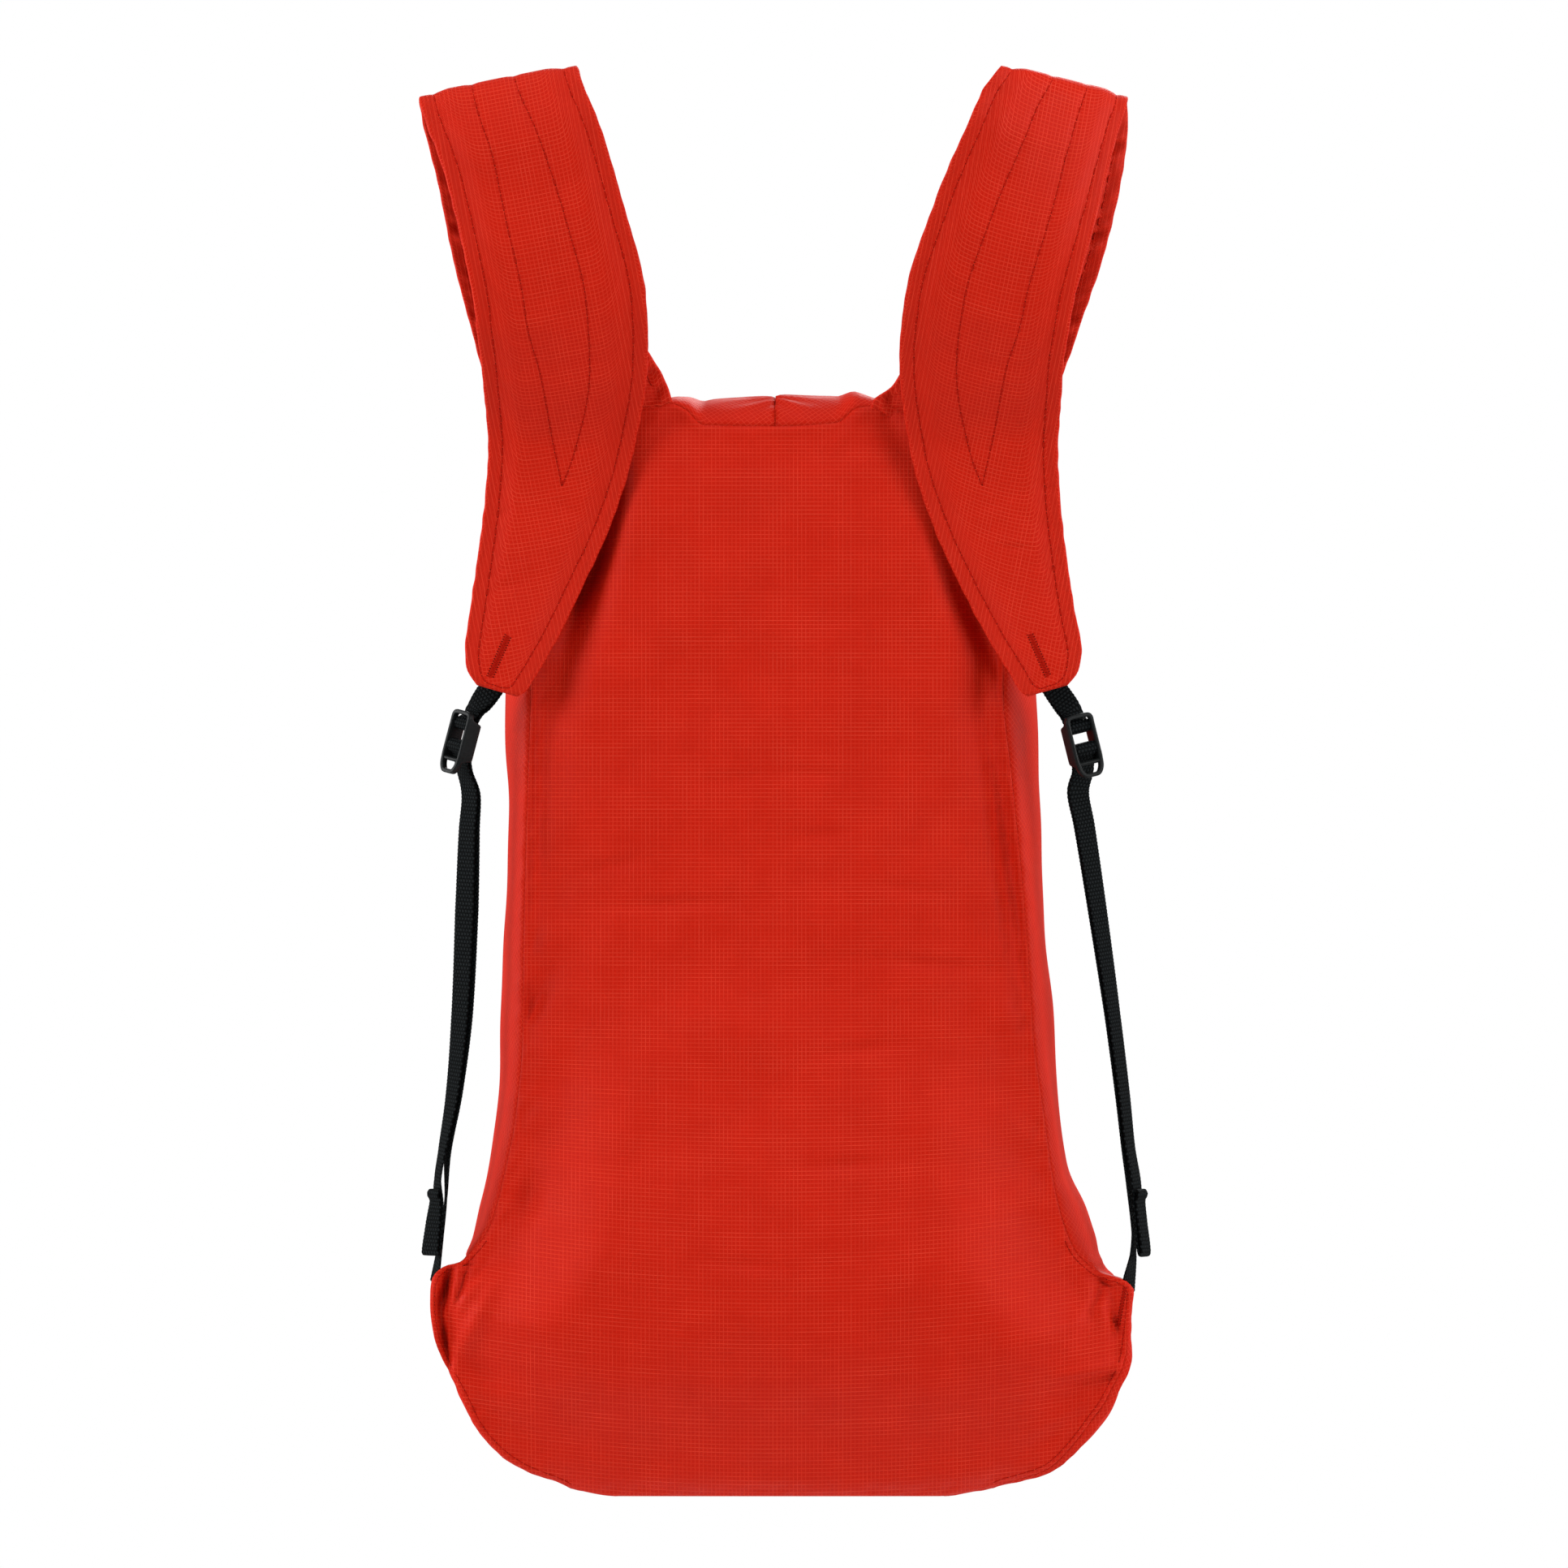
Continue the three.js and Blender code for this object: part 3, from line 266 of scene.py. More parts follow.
def maths(tree, operation, *values):
    """The result of one sum on sockets or numbers."""
    return add_node(tree, "ShaderNodeMath", enumerate(values), operation=operation).outputs[0]


def noise_at(tree, place, scale, detail):
    """Soft noise with a number of grains to the metre."""
    return add_node(tree, "ShaderNodeTexNoise", {"Vector": place, "Scale": scale, "Detail": detail})


def varied(tree, noise, low, high):
    """Low where a noise is 0 and high where it is 1."""
    return maths(tree, "MULTIPLY_ADD", noise.outputs[0], high - low, low)


def blend_colours(tree, share, first, second):
    """First colour where share is 0, second where it is 1."""
    made = add_node(tree, "ShaderNodeMix", data_type="RGBA")
    for key, value in {"Factor": share, "A": first, "B": second}.items():
        socket = next(s for s in made.inputs if s.name == key and s.enabled)
        if isinstance(value, bpy.types.NodeSocket):
            tree.links.new(value, socket)
        else:
            socket.default_value = value
    return next(s for s in made.outputs if s.enabled)


# %% Helpers for groups and materials
def new_group(name, inputs, outputs):
    """A shader node group with named sockets, and its input and output nodes."""
    tree = bpy.data.node_groups.new(name, "ShaderNodeTree")
    for label, kind, value in inputs:
        tree.interface.new_socket(label, in_out="INPUT", socket_type=kind).default_value = value
    for label, kind in outputs:
        tree.interface.new_socket(label, in_out="OUTPUT", socket_type=kind)
    return tree, tree.nodes.new("NodeGroupInput").outputs, tree.nodes.new("NodeGroupOutput").inputs


def new_material(name, specular=None):
    """A material with its node tree and its shader."""
    made = bpy.data.materials.new(name)
    made.use_nodes = True
    shader = made.node_tree.nodes["Principled BSDF"]
    if specular is not None:
        shader.inputs["Specular IOR Level"].default_value = specular
    print("material:", name)
    return made, made.node_tree, shader


def woven_material(name, weave_group, settings, depth, strength, specular, turn=0):
    """A weave group on the flat cloth's coordinates, turned by some degrees, with its threads standing up."""
    made, tree, shader = new_material(name, specular)
    flat = add_node(tree, "ShaderNodeUVMap", uv_map="flat").outputs[0]
    turned = add_node(tree, "ShaderNodeMapping", {"Vector": flat, "Rotation": (0, 0, np.radians(turn))})
    inputs = {"Place": turned.outputs[0], **settings}
    weave = add_node(tree, "ShaderNodeGroup", inputs, node_tree=weave_group).outputs
    standing = {"Height": weave["Height"], "Strength": strength, "Distance": depth}
    bump = add_node(tree, "ShaderNodeBump", standing)
    tree.links.new(weave["Color"], shader.inputs["Base Color"])
    tree.links.new(weave["Roughness"], shader.inputs["Roughness"])
    tree.links.new(bump.outputs[0], shader.inputs["Normal"])
    return made, shader


# %% The ripstop group
COLOUR, NUMBER, VECTOR = "NodeSocketColor", "NodeSocketFloat", "NodeSocketVector"
ripstop, have, give = new_group(
    "ripstop",
    [("Place", VECTOR, (0, 0, 0)), ("Pitch", NUMBER, 0.0018), ("Line Share", NUMBER, 0.3),
     ("Ground", COLOUR, (0.5, 0.02, 0.01, 1)), ("Thread", COLOUR, (0.6, 0.06, 0.04, 1)),
     ("Crumple", NUMBER, 1.0), ("Streaks", NUMBER, 1.0)],
    [("Color", COLOUR), ("Roughness", NUMBER), ("Height", NUMBER)],
)


def thread_lines(axis, seed):
    """1 on the thicker threads of one direction and 0 between them, each thread a little different."""
    along = maths(ripstop, "DIVIDE", axis, have["Pitch"])
    middle = maths(ripstop, "ABSOLUTE", maths(ripstop, "SUBTRACT", maths(ripstop, "FRACT", along), 0.5))
    edge = maths(ripstop, "SUBTRACT", 0.5, have["Line Share"])
    line = add_node(
        ripstop, "ShaderNodeMapRange",
        {"Value": middle, "From Min": edge, "From Max": 0.5}, interpolation_type="SMOOTHSTEP",
    ).outputs[0]
    number = maths(ripstop, "ADD", maths(ripstop, "ROUND", along), seed)
    chance = add_node(ripstop, "ShaderNodeTexWhiteNoise", {"W": number}, noise_dimensions="1D")
    return maths(ripstop, "MULTIPLY", line, varied(ripstop, chance, 0.6, 1.05))


def streaks_along(shift, stretch):
    """How much the threads of one direction show, in soft streaks along them of a few centimetres."""
    moving = {"Vector": have["Place"], "Location": (shift, 0, 0), "Scale": (*stretch, 1)}
    moved = add_node(ripstop, "ShaderNodeMapping", moving).outputs[0]
    spread = noise_at(ripstop, moved, 40, 3).outputs[0]
    fading = {"Value": spread, "From Min": 0.36, "From Max": 0.64, "To Min": -0.84, "To Max": 0.1}
    faded = add_node(ripstop, "ShaderNodeMapRange", fading).outputs[0]
    return maths(ripstop, "MULTIPLY_ADD", faded, have["Streaks"], 1.0)


split = add_node(ripstop, "ShaderNodeSeparateXYZ", {0: have["Place"]}).outputs
cloud, crumple, fine = (
    noise_at(ripstop, have["Place"], scale, detail) for scale, detail in ((45, 3), (160, 4), (2600, 1))
)
WARP_SHARE, GRAIN_HEIGHT = 0.8, 0.3
warp_streaks = streaks_along(shift=0.7, stretch=(2.4, 1.5))
weft_streaks = streaks_along(shift=1.9, stretch=(1.0, 2.8))
warp = maths(ripstop, "MULTIPLY", thread_lines(split[0], seed=0.5), warp_streaks)
weft = maths(ripstop, "MULTIPLY", thread_lines(split[1], seed=300.5), weft_streaks)
lines = maths(ripstop, "MAXIMUM", maths(ripstop, "MULTIPLY", warp, WARP_SHARE), weft)
shade = maths(ripstop, "MULTIPLY", varied(ripstop, cloud, 0.92, 1.08), varied(ripstop, fine, 0.93, 1.07))
woven = blend_colours(ripstop, lines, have["Ground"], have["Thread"])
tone = add_node(ripstop, "ShaderNodeVectorMath", {0: woven, "Scale": shade}, operation="SCALE")
relief = maths(ripstop, "MULTIPLY_ADD", crumple.outputs[0], have["Crumple"], lines)
ripstop.links.new(tone.outputs[0], give["Color"])
ripstop.links.new(varied(ripstop, cloud, 0.45, 0.65), give["Roughness"])
ripstop.links.new(maths(ripstop, "MULTIPLY_ADD", fine.outputs[0], GRAIN_HEIGHT, relief), give["Height"])
print("ripstop group:", len(ripstop.nodes), "nodes")

# %% Three cloths from the group: the bag's, the gussets' on the bias, and the straps'
CLOTH_RED = (0.525, 0.011, 0.0024, 1)
# painted highlight: the thread colours are paler than CLOTH_RED, standing in for the light that the raised
# threads catch
THREAD_RED = (0.7, 0.039, 0.0165, 1)
STRAP_THREAD = (0.7, 0.04, 0.017, 1)
GRID_PITCH, GRID_DEPTH, GRID_STRENGTH, CLOTH_SPECULAR = 0.00178, 0.00025, 0.55, 0.07
SHEEN = {"Sheen Weight": 0.02, "Sheen Roughness": 0.35, "Sheen Tint": (1, 0.5, 0.42, 1)}


def cloth(name, turn, crumple, line, streaks, thread=THREAD_RED):
    """Ripstop turned by some degrees, with sheen."""
    settings = {"Pitch": GRID_PITCH, "Line Share": line, "Ground": CLOTH_RED, "Thread": thread,
                "Crumple": crumple, "Streaks": streaks}
    made, shader = woven_material(name, ripstop, settings, GRID_DEPTH, GRID_STRENGTH, CLOTH_SPECULAR, turn)
    for key, value in SHEEN.items():
        shader.inputs[key].default_value = value
    return made


bag_cloth = cloth("bag_ripstop", turn=0, crumple=0.9, line=0.21, streaks=0.6)
bias_cloth = cloth("gusset_ripstop", turn=38, crumple=1.1, line=0.17, streaks=0.5)
strap_cloth = cloth("strap_ripstop", turn=0, crumple=0.5, line=0.21, streaks=0.35, thread=STRAP_THREAD)

# %% [markdown]
# ## The back panel
#
# This is the cloth against the wearer: tall, wider at the base, with a pointed wing low on each side, crowned
# a little by what is packed inside. It could be sculpted, but a surface over (place across, height up the
# seam) keeps the pattern's outline exact. Folds are bell-shaped ridges and valleys with a middle, a length, a
# width, a turn and a depth. At its rim the panel rolls under, as cloth does along a seam.

# %% Folds pressed into the back panel: ridges are positive, valleys negative
FOLDS = table("x height reach width turn depth", [
    (-143, 76, 20, 3.5, 90, -3), (-134, 90, 11, 4, 55, 2.5), (139, 85, 11, 4, 125, 2.5),
    (147, 76, 14, 3.5, 95, -2.5), (62, 449, 22, 7, -35, 3), (75, 425, 24, 8, -60, 2.5),
    (-60, 448, 20, 8, 30, 2), (-38, 203, 60, 18, 0, 2.5), (-48, 301, 50, 17, -8, 2), (45, 255, 55, 18, 10, 2),
])
CREASES = table("x height reach width turn depth", [
    # the left wing
    (-144.2, 90.6, 9.5, 2.1, 80, -7), (-144.2, 89.6, 10, 0.9, 77, -3.5), (-144.6, 69, 12, 1.3, 99, -7),
    (-148.7, 80, 24, 1.5, 89, 1.6), (-139.6, 90, 11, 2, 80, 2.2), (-137, 92, 11, 1.3, 72, -3.6),
    (-133, 72, 22, 4.5, 66, 2), (-131, 96, 9, 1.8, 52, -1.6), (-128, 84, 15, 3, 62, 0.9),
    # the right wing, and the two lower corners
    (143.2, 92.4, 3.6, 1.1, -26, -3), (139.3, 87, 8.5, 2.6, 77, -3.2), (136.5, 82, 8, 2.4, 55, -1.2),
    (146.4, 76.5, 4.8, 1.3, -66, -3.2), (140.8, 85, 8, 1.8, 62, 1.6), (131, 78, 14, 3.2, 72, 0.8),
    (135.5, 51.2, 12, 2, 9, -2.2), (136, 55.4, 13, 2.4, 9, 1.8), (128, 46, 20, 3.4, 12, -1.3),
    (124, 35, 16, 3.6, 28, 1.2), (118, 27, 16, 3.6, 34, -1),
    (-128, 48, 15, 3.4, -16, 0.9), (-122, 36, 15, 3.4, -28, -0.8),
    # the two top corners
    (50.5, 464, 9, 1.8, -45, -1.5), (56, 458, 12, 2.2, -48, 1.1), (64, 452, 14, 2.4, -42, -1.1),
    (48, 452, 14, 3, -62, -0.8), (17, 447, 14, 4.5, 90, -0.9), (-36, 461, 9, 1.8, 38, -1),
    (-46, 456, 14, 2.6, 44, 0.9), (29, 464, 6, 1.5, 55, -1),
    # long soft folds of the middle
    (-70, 130, 50, 9, 24, 0.9), (60, 150, 46, 8, -20, -0.8), (-20, 330, 46, 10, 12, 0.8),
    (30, 385, 34, 9, -16, -0.7), (-74, 240, 40, 8, 62, 0.7), (82, 215, 50, 8, 96, -0.8),
    (-92, 170, 44, 7, 84, -0.9),
    # crevices beside the straps, and recesses along the side seams
    (-82, 400, 42, 8.5, 73, -12), (-78.8, 404, 20, 4, 66, -13), (-96, 338, 32, 8, 84, -2.6),
    (86, 383, 30, 6.5, -64, -10), (88, 335, 30, 8, 92, -2.6), (98.2, 287, 64, 4.6, 97.4, -6),
    (-103.5, 300, 55, 4, 88, -2.6), (-106, 215, 12, 4.5, 62, -4.2), (-108, 129, 14, 5.5, 76, -4.2),
    # short level creases
    (-44.6, 258, 26, 2.8, 2, -1.6), (68.3, 231.4, 26, 3, -5, -1.7), (38.4, 195, 17, 3, 8, -1.6),
    (28.5, 145, 19, 3.2, 4, -1.5), (-11.4, 102, 17, 3.4, -6, -1.2), (-71, 274.6, 13, 3, 12, -1.4),
    (15.2, 314.5, 14, 2.8, -4, -1.2), (-18, 312, 12, 2.8, 6, -1), (18.5, 288, 13, 2.8, 4, -1.2),
    (55, 264.7, 16, 2.8, -8, -1.2),
])


def relief_of(folds, x, height):
    """Sum of bells: depth times exp(-(along/reach)^2 - (across/width)^2) for each fold."""
    dx = x[..., None] - folds["x"]
    dz = height[..., None] - folds["height"]
    turn = np.radians(folds["turn"])
    along = (dx * np.cos(turn) + dz * np.sin(turn)) / folds["reach"]
    across = (dz * np.cos(turn) - dx * np.sin(turn)) / folds["width"]
    return (folds["depth"] * np.exp(-along ** 2 - across ** 2)).sum(-1)


def ripple(u, v, waves, longest, shortest, seed):
    """Sum of sine waves in random directions, from the longest to the shortest wavelength, about +-1."""
    chance = np.random.default_rng(seed)
    size = np.geomspace(longest, shortest, waves)
    way = chance.uniform(0, 2 * np.pi, waves)
    start = chance.uniform(0, 2 * np.pi, waves)
    phase = (u[..., None] * np.cos(way) + v[..., None] * np.sin(way)) * 2 * np.pi / size + start
    return np.sin(phase).sum(-1) / np.sqrt(waves)


# %% The panel as a function of place and height
BASE_FLAT, BASE_END, BASE_SHAPED_TO, TOP_SHAPED_FROM = 70, 100, 45, 380
CROWN_REACH, CROWN_EASE = np.linspace(-36, 36, 13), 0.06
SEAM_SAMPLES = 4000


def base_drop(x, height):
    """Lets the bottom edge down to the base in the middle, rising to the corners."""
    corner = smooth(np.abs(x), BASE_FLAT, BASE_END)
    return BOTTOM * (1 - corner) * (1 - smooth(height, BOTTOM, BASE_SHAPED_TO))


def back_surface(place, height):
    """x runs from the left seam to the right one, height follows the dipping top seam, y is the crown: one
    minus the square of x over the half-width, averaged over nearby heights so that the wings stay flat."""
    place, height = np.broadcast_arrays(np.asarray(place, float), np.asarray(height, float))
    left, right = (
        read(OUTLINE, "height", side, height) - read(TUCK, "height", side, height) for side in SIDE
    )
    x = -left + (left + right) * place
    wide_left, wide_right = (
        np.mean([read(OUTLINE, "height", side, height + d) for d in CROWN_REACH], axis=0) for side in SIDE
    )
    rise = read(TOP_SEAM, "x", "height", x) - TOP
    z = height + rise * smooth(height, TOP_SHAPED_FROM, TOP) - base_drop(x, height)
    share = (2 * x + wide_left - wide_right) / (wide_left + wide_right)
    arch = 1 - share ** 2
    crown = read(BODY, "height", "crown", height) * (arch + np.hypot(arch, CROWN_EASE)) / 2
    y = read(BODY, "height", "seam", height) - crown - relief_of(FOLDS, x, height)
    return np.stack([x, y, z], -1)


def crowded(count, share=0.45):
    """Places from 0 to 1, closer together near both ends."""
    even = np.linspace(0, 1, count)
    return even + share * ((1 - np.cos(np.pi * even)) / 2 - even)


def seam_heights(count):
    """Heights up the side seams at even distances along them."""
    dense = np.linspace(BOTTOM, TOP, SEAM_SAMPLES)
    run = lengths(back_surface(0.0, dense)) + lengths(back_surface(1.0, dense))
    return np.interp(np.linspace(0, run[-1], count), run, dense)


# %% The panel's grid, with its creases, its soft waves, its belly and its rolled rim
ROLL, ROLL_DEPTH = 2.0, 0.5
BACK_ROWS, BACK_COLUMNS, RIM_SAMPLES = 285, 155, 2500
SOFT_HEIGHT, SOFT_INSET = 0.8, 12
PUCKER_HEIGHT, PUCKER_REACH, PUCKER_HELD = 0.45, 7, 3
DIP_HEIGHT, DIP_LEVEL, DIP_INSET, DIP_WIDTH, DIP_STRETCH = 0.8, 0.6, 13, 8, 0.3
BELLY_LOW, BELLY_FULL, BELLY_RISE, BELLY_INSET, BELLY_FADE = 2, 16, 85, 52, (90, 240)
CREASE_HELD = 2.5


def rolled(distance):
    """Depth of a quarter-round rim at a distance from the edge."""
    t = 1 - np.clip(distance / ROLL, 0, 1)
    return ROLL_DEPTH * (1 - np.sqrt(1 - t * t))


def nearest(grid, line):
    """Distance, seen from the wearer's side, from every point of a grid to the nearest point of a line."""
    flat = line[:, [0, 2]]
    return np.sqrt([((row[:, None, [0, 2]] - flat) ** 2).sum(-1).min(1) for row in grid])


heights = seam_heights(BACK_ROWS)[:, None]
places = crowded(BACK_COLUMNS)[None, :]
back = back_surface(places, heights)
seam_points = np.linspace(BOTTOM, TOP, RIM_SAMPLES)
to_left, to_right = (nearest(back, back_surface(side, seam_points)) for side in (0.0, 1.0))
to_top, to_base = TOP - heights + 0 * places, back[..., 2] - back[:1, :, 2]
rim = np.minimum.reduce([to_left, to_right, to_top, to_base])
x, z = back[..., 0], back[..., 2]
soft = SOFT_HEIGHT * ripple(x, z, waves=9, longest=150, shortest=45, seed=4)
puckers = PUCKER_HEIGHT * ripple(x, z, waves=8, longest=16, shortest=7, seed=9)
puckers *= np.exp(-(rim / PUCKER_REACH) ** 2)
dips = ripple(DIP_STRETCH * x, z, waves=7, longest=70, shortest=22, seed=12) - DIP_LEVEL
puckers += DIP_HEIGHT * dips * np.exp(-((rim - DIP_INSET) / DIP_WIDTH) ** 2)
belly = smooth(rim, 0, BELLY_INSET) * (BELLY_LOW + BELLY_FULL * smooth(to_base, 0, BELLY_RISE))
belly *= 1 - smooth(heights, *BELLY_FADE)
pressed = relief_of(CREASES, x, heights + 0 * places) * smooth(rim, 0, CREASE_HELD)
shift = pressed + soft * smooth(rim, 0, SOFT_INSET) + belly + puckers * smooth(rim, 0, PUCKER_HELD)
back[..., 1] += rolled(rim) - shift
print("back panel: moved by", round(shift.min(), 1), "to", round(shift.max(), 1), "mm")

# %% Its place on the flat cloth, where the grid curves up towards both wings, and its thickness
SMILE, SMILE_HALF, SMILE_FADE = 12, 150, (110, 240)
smile = SMILE * (x / SMILE_HALF) ** 2 * (1 - smooth(z, *SMILE_FADE))
back_flat = np.stack([x, z - smile], -1)
CLOTH_WALL = 0.0006


def wall(made):
    """Gives a cloth surface its thickness, inwards from the side that shows."""
    thick = made.modifiers.new("thickness", "SOLIDIFY")
    thick.thickness, thick.offset = CLOTH_WALL, -1
    return made


dress(wall(sheet("back_panel_cloth", back, back_flat)), bag_cloth, "cloth", "back_panel")

# %% [markdown]
# ## The front panel and the gussets
#
# Behind the back panel a strip of cloth runs right round: two gussets, which meet in a seam at the middle of
# the top, and a bottom panel. The front panel closes the bag, and its top edge sags away from the gussets to
# open the mouth. Each row of the strip goes from the back seam to the front seam and swells out in between by
# a half sine wave, which is what cloth does when the bag is full. A wing pinches it at the back seam.

# %% The front panel
MOUTH_HALF, MOUTH_GAPE, FRONT_SHAPED_FROM, FRONT_TOP_ROUND = 78, 34, 300, 8
SINK_CURVE, SINK_OUT, BELLY_CURVE = 1.3, 0.35, 2.4
FRONT_ROWS, FRONT_COLUMNS = 190, 110
FRONT_WAVE, FRONT_INSET, FRONT_GATHER, FRONT_REACH = 1.1, 14, 0.6, 8


def front_surface(place, height, gape):
    """The far side of the bag: a belly between its seams, and a top edge that sinks by the gape."""
    place, height = np.broadcast_arrays(np.asarray(place, float), np.asarray(height, float))
    half = read(BODY, "height", "front", height)
    x = half * (2 * place - 1)
    edge = np.abs(2 * place - 1)
    top = smooth(height, FRONT_SHAPED_FROM, TOP)
    sink = np.clip(1 - (x / MOUTH_HALF) ** 2, 0, None) ** SINK_CURVE * gape * top
    z = height + FRONT_TOP_ROUND * (1 - edge ** 2) * top - sink - base_drop(x, height)
    belly = read(BODY, "height", "belly", height) * (1 - edge ** BELLY_CURVE)
    return np.stack([x, read(BODY, "height", "depth", height) + belly + SINK_OUT * sink, z], -1)


front = front_surface(crowded(FRONT_COLUMNS)[None, :], seam_heights(FRONT_ROWS)[:, None], MOUTH_GAPE)
x, z = front[..., 0], front[..., 2]
front_rim = np.minimum.reduce([x - x[:, :1], x[:, -1:] - x, z - z[:1]])
waves = FRONT_WAVE * ripple(x, z, waves=9, longest=140, shortest=30, seed=21)
gathers = FRONT_GATHER * ripple(x, z, waves=8, longest=18, shortest=8, seed=23)
gathers *= np.exp(-(front_rim / FRONT_REACH) ** 2) * smooth(front_rim, 0, PUCKER_HELD)
front[..., 1] += waves * smooth(front_rim, 0, FRONT_INSET) + gathers - rolled(front_rim)
front_panel = sheet("front_panel_cloth", front, front[..., [0, 2]], flip=True)
dress(wall(front_panel), bag_cloth, "cloth", "front_panel")

# %% The strip's two seams, from the middle of the top down the left, along the base and up the right
STRIP_TOP, STRIP_SIDE, STRIP_BASE, STRIP_COLUMNS = 60, 250, 110, 66
WING_FADE, LIP_DEPTH, SEAM_DEPTH, BASE_LIFT, SWELL_LEAN = 0.2, 0.04, ROLL_DEPTH, 0.2, 0.62
top_places = 0.5 - 0.5 * np.linspace(0, 1, STRIP_TOP)
side_heights = seam_heights(STRIP_SIDE)
base_places = crowded(STRIP_BASE)
strip_place = np.concatenate([
    top_places, np.zeros(STRIP_SIDE - 2), base_places, np.ones(STRIP_SIDE - 2), 1 - top_places[::-1],
])
strip_height = np.concatenate([
    np.full(STRIP_TOP, TOP), side_heights[-2:0:-1], np.full(STRIP_BASE, BOTTOM), side_heights[1:-1],
    np.full(STRIP_TOP, TOP),
])
LEFT_END = STRIP_TOP + STRIP_SIDE - 2
BASE_STOP = LEFT_END + STRIP_BASE
from_back = back_surface(strip_place, strip_height) + np.array([0, SEAM_DEPTH, 0])
to_front = front_surface(strip_place, strip_height, 0) - np.array([0, SEAM_DEPTH, 0])
print("strip:", len(strip_place), "rows")


def averaged(values, reach):
    """A running mean along the strip, over a number of rows to each side."""
    kernel = np.ones(2 * reach + 1) / (2 * reach + 1)
    padded = np.pad(values, ((reach, reach), (0, 0)), mode="edge")
    return np.stack([np.convolve(column, kernel, mode="valid") for column in padded.T], -1)


# %% The strip as a surface: straight across, plus the wing's pinch, plus the swell
OUT_ROWS, SOFT_ROWS, HELD_WING, HELD_LIP, STRIP_CROWD, PLACE_SAMPLES = 7, 3, 4, 1.5, 0.5, 400
left_half = np.arange(len(strip_place)) < LEFT_END + STRIP_BASE // 2


def by_half(rows, column):
    """A table's left column on the left half of the strip and its right column on the other half."""
    return np.where(left_half, *(read(rows, "height", column + side, strip_height) for side in SIDE))


run = np.gradient(to_front, axis=0)
out = unit(averaged(unit(np.stack([run[:, 2], 0 * run[:, 0], -run[:, 0]], -1)), OUT_ROWS))
on_top = strip_height == TOP
share = np.interp(strip_place, crowded(PLACE_SAMPLES), np.linspace(0, 1, PLACE_SAMPLES))
share = np.abs(2 * share - 1)
swell = np.where(on_top, read(TOP_SWELL, "share", "swell", share), by_half(BODY, "swell_"))
wing = by_half(OUTLINE, "wing_") * np.where(left_half, 1, -1)
across = crowded(STRIP_COLUMNS, STRIP_CROWD)
pinch = np.stack([wing, 0 * wing, 0 * wing], -1)[:, None]
strip = from_back[:, None] + pinch + (to_front[:, None] - from_back[:, None] - pinch) * across[:, None]
strip -= pinch * (np.clip(1 - np.clip(across - LIP_DEPTH, 0, None) / WING_FADE, 0, None) ** 2)[:, None]
shown = np.where(on_top, 0, by_half(LIP, ""))
lip = smooth(across, 0, 0.5 * LIP_DEPTH) * (1 - smooth(across, LIP_DEPTH, WING_FADE))
strip += out[:, None] * (averaged(shown[:, None], SOFT_ROWS) * lip)[..., None]
swelling = averaged(swell[:, None], SOFT_ROWS) * np.sin(np.pi * across ** SWELL_LEAN)
held = np.clip(np.maximum(np.abs(wing) / HELD_WING, shown / HELD_LIP), 0, 1)
swelling *= 1 - averaged(held[:, None], SOFT_ROWS) * (1 - smooth(across, LIP_DEPTH, LIP_DEPTH + WING_FADE))
strip += out[:, None] * swelling[..., None]
on_base = (strip_height == BOTTOM)[:, None]
strip[..., 2] = np.where(on_base, np.maximum(strip[..., 2], BASE_LIFT), strip[..., 2])

# %% Wrinkles of the strip: soft waves, gathers at both seams, and a fan of creases at the top's middle seam
STRIP_WAVE, STRIP_INSET, STRIP_GATHER, STRIP_REACH, STRIP_STRETCH = 0.45, 18, 0.3, 7, 0.35
FAN_HEIGHT, FAN_CREASES, FAN_REACH, FAN_DEPTH, FAN_BACK, FAN_RISE = 0.6, 17, 16, 26, 10, (2, 12)
MIDDLE_SEAM, MIDDLE_WIDTH = 0.8, 0.9
strip_run = lengths(strip[:, STRIP_COLUMNS // 2])
depth_in = np.cumsum(np.linalg.norm(np.diff(strip, axis=1, prepend=strip[:, :1]), axis=-1), axis=1)
along = np.broadcast_to(strip_run[:, None], depth_in.shape)
strip_flat = np.stack([along, depth_in], -1)
facing = normals_of(strip)
facing *= -np.sign(facing[STRIP_TOP + STRIP_SIDE // 2, STRIP_COLUMNS // 2, 0])
to_seam = np.minimum(depth_in, depth_in[:, -1:] - depth_in)
to_middle = np.minimum(along, strip_run[-1] - along)
lift = STRIP_WAVE * ripple(along, depth_in, waves=9, longest=160, shortest=40, seed=31)
lift *= smooth(to_seam, 0, STRIP_INSET)
gathers = STRIP_GATHER * ripple(along, STRIP_STRETCH * depth_in, waves=8, longest=17, shortest=7, seed=33)
lift += gathers * np.exp(-(to_seam / STRIP_REACH) ** 2)
spread = np.arctan2(depth_in - FAN_DEPTH, to_middle + FAN_BACK)
fan = np.sin(FAN_CREASES * spread) * np.exp(-(to_middle / FAN_REACH) ** 2) * smooth(depth_in, *FAN_RISE)
lift = lift * smooth(to_seam, 0, PUCKER_HELD) + FAN_HEIGHT * fan
lift -= MIDDLE_SEAM * np.exp(-to_middle / MIDDLE_WIDTH)
strip += facing * lift[..., None]

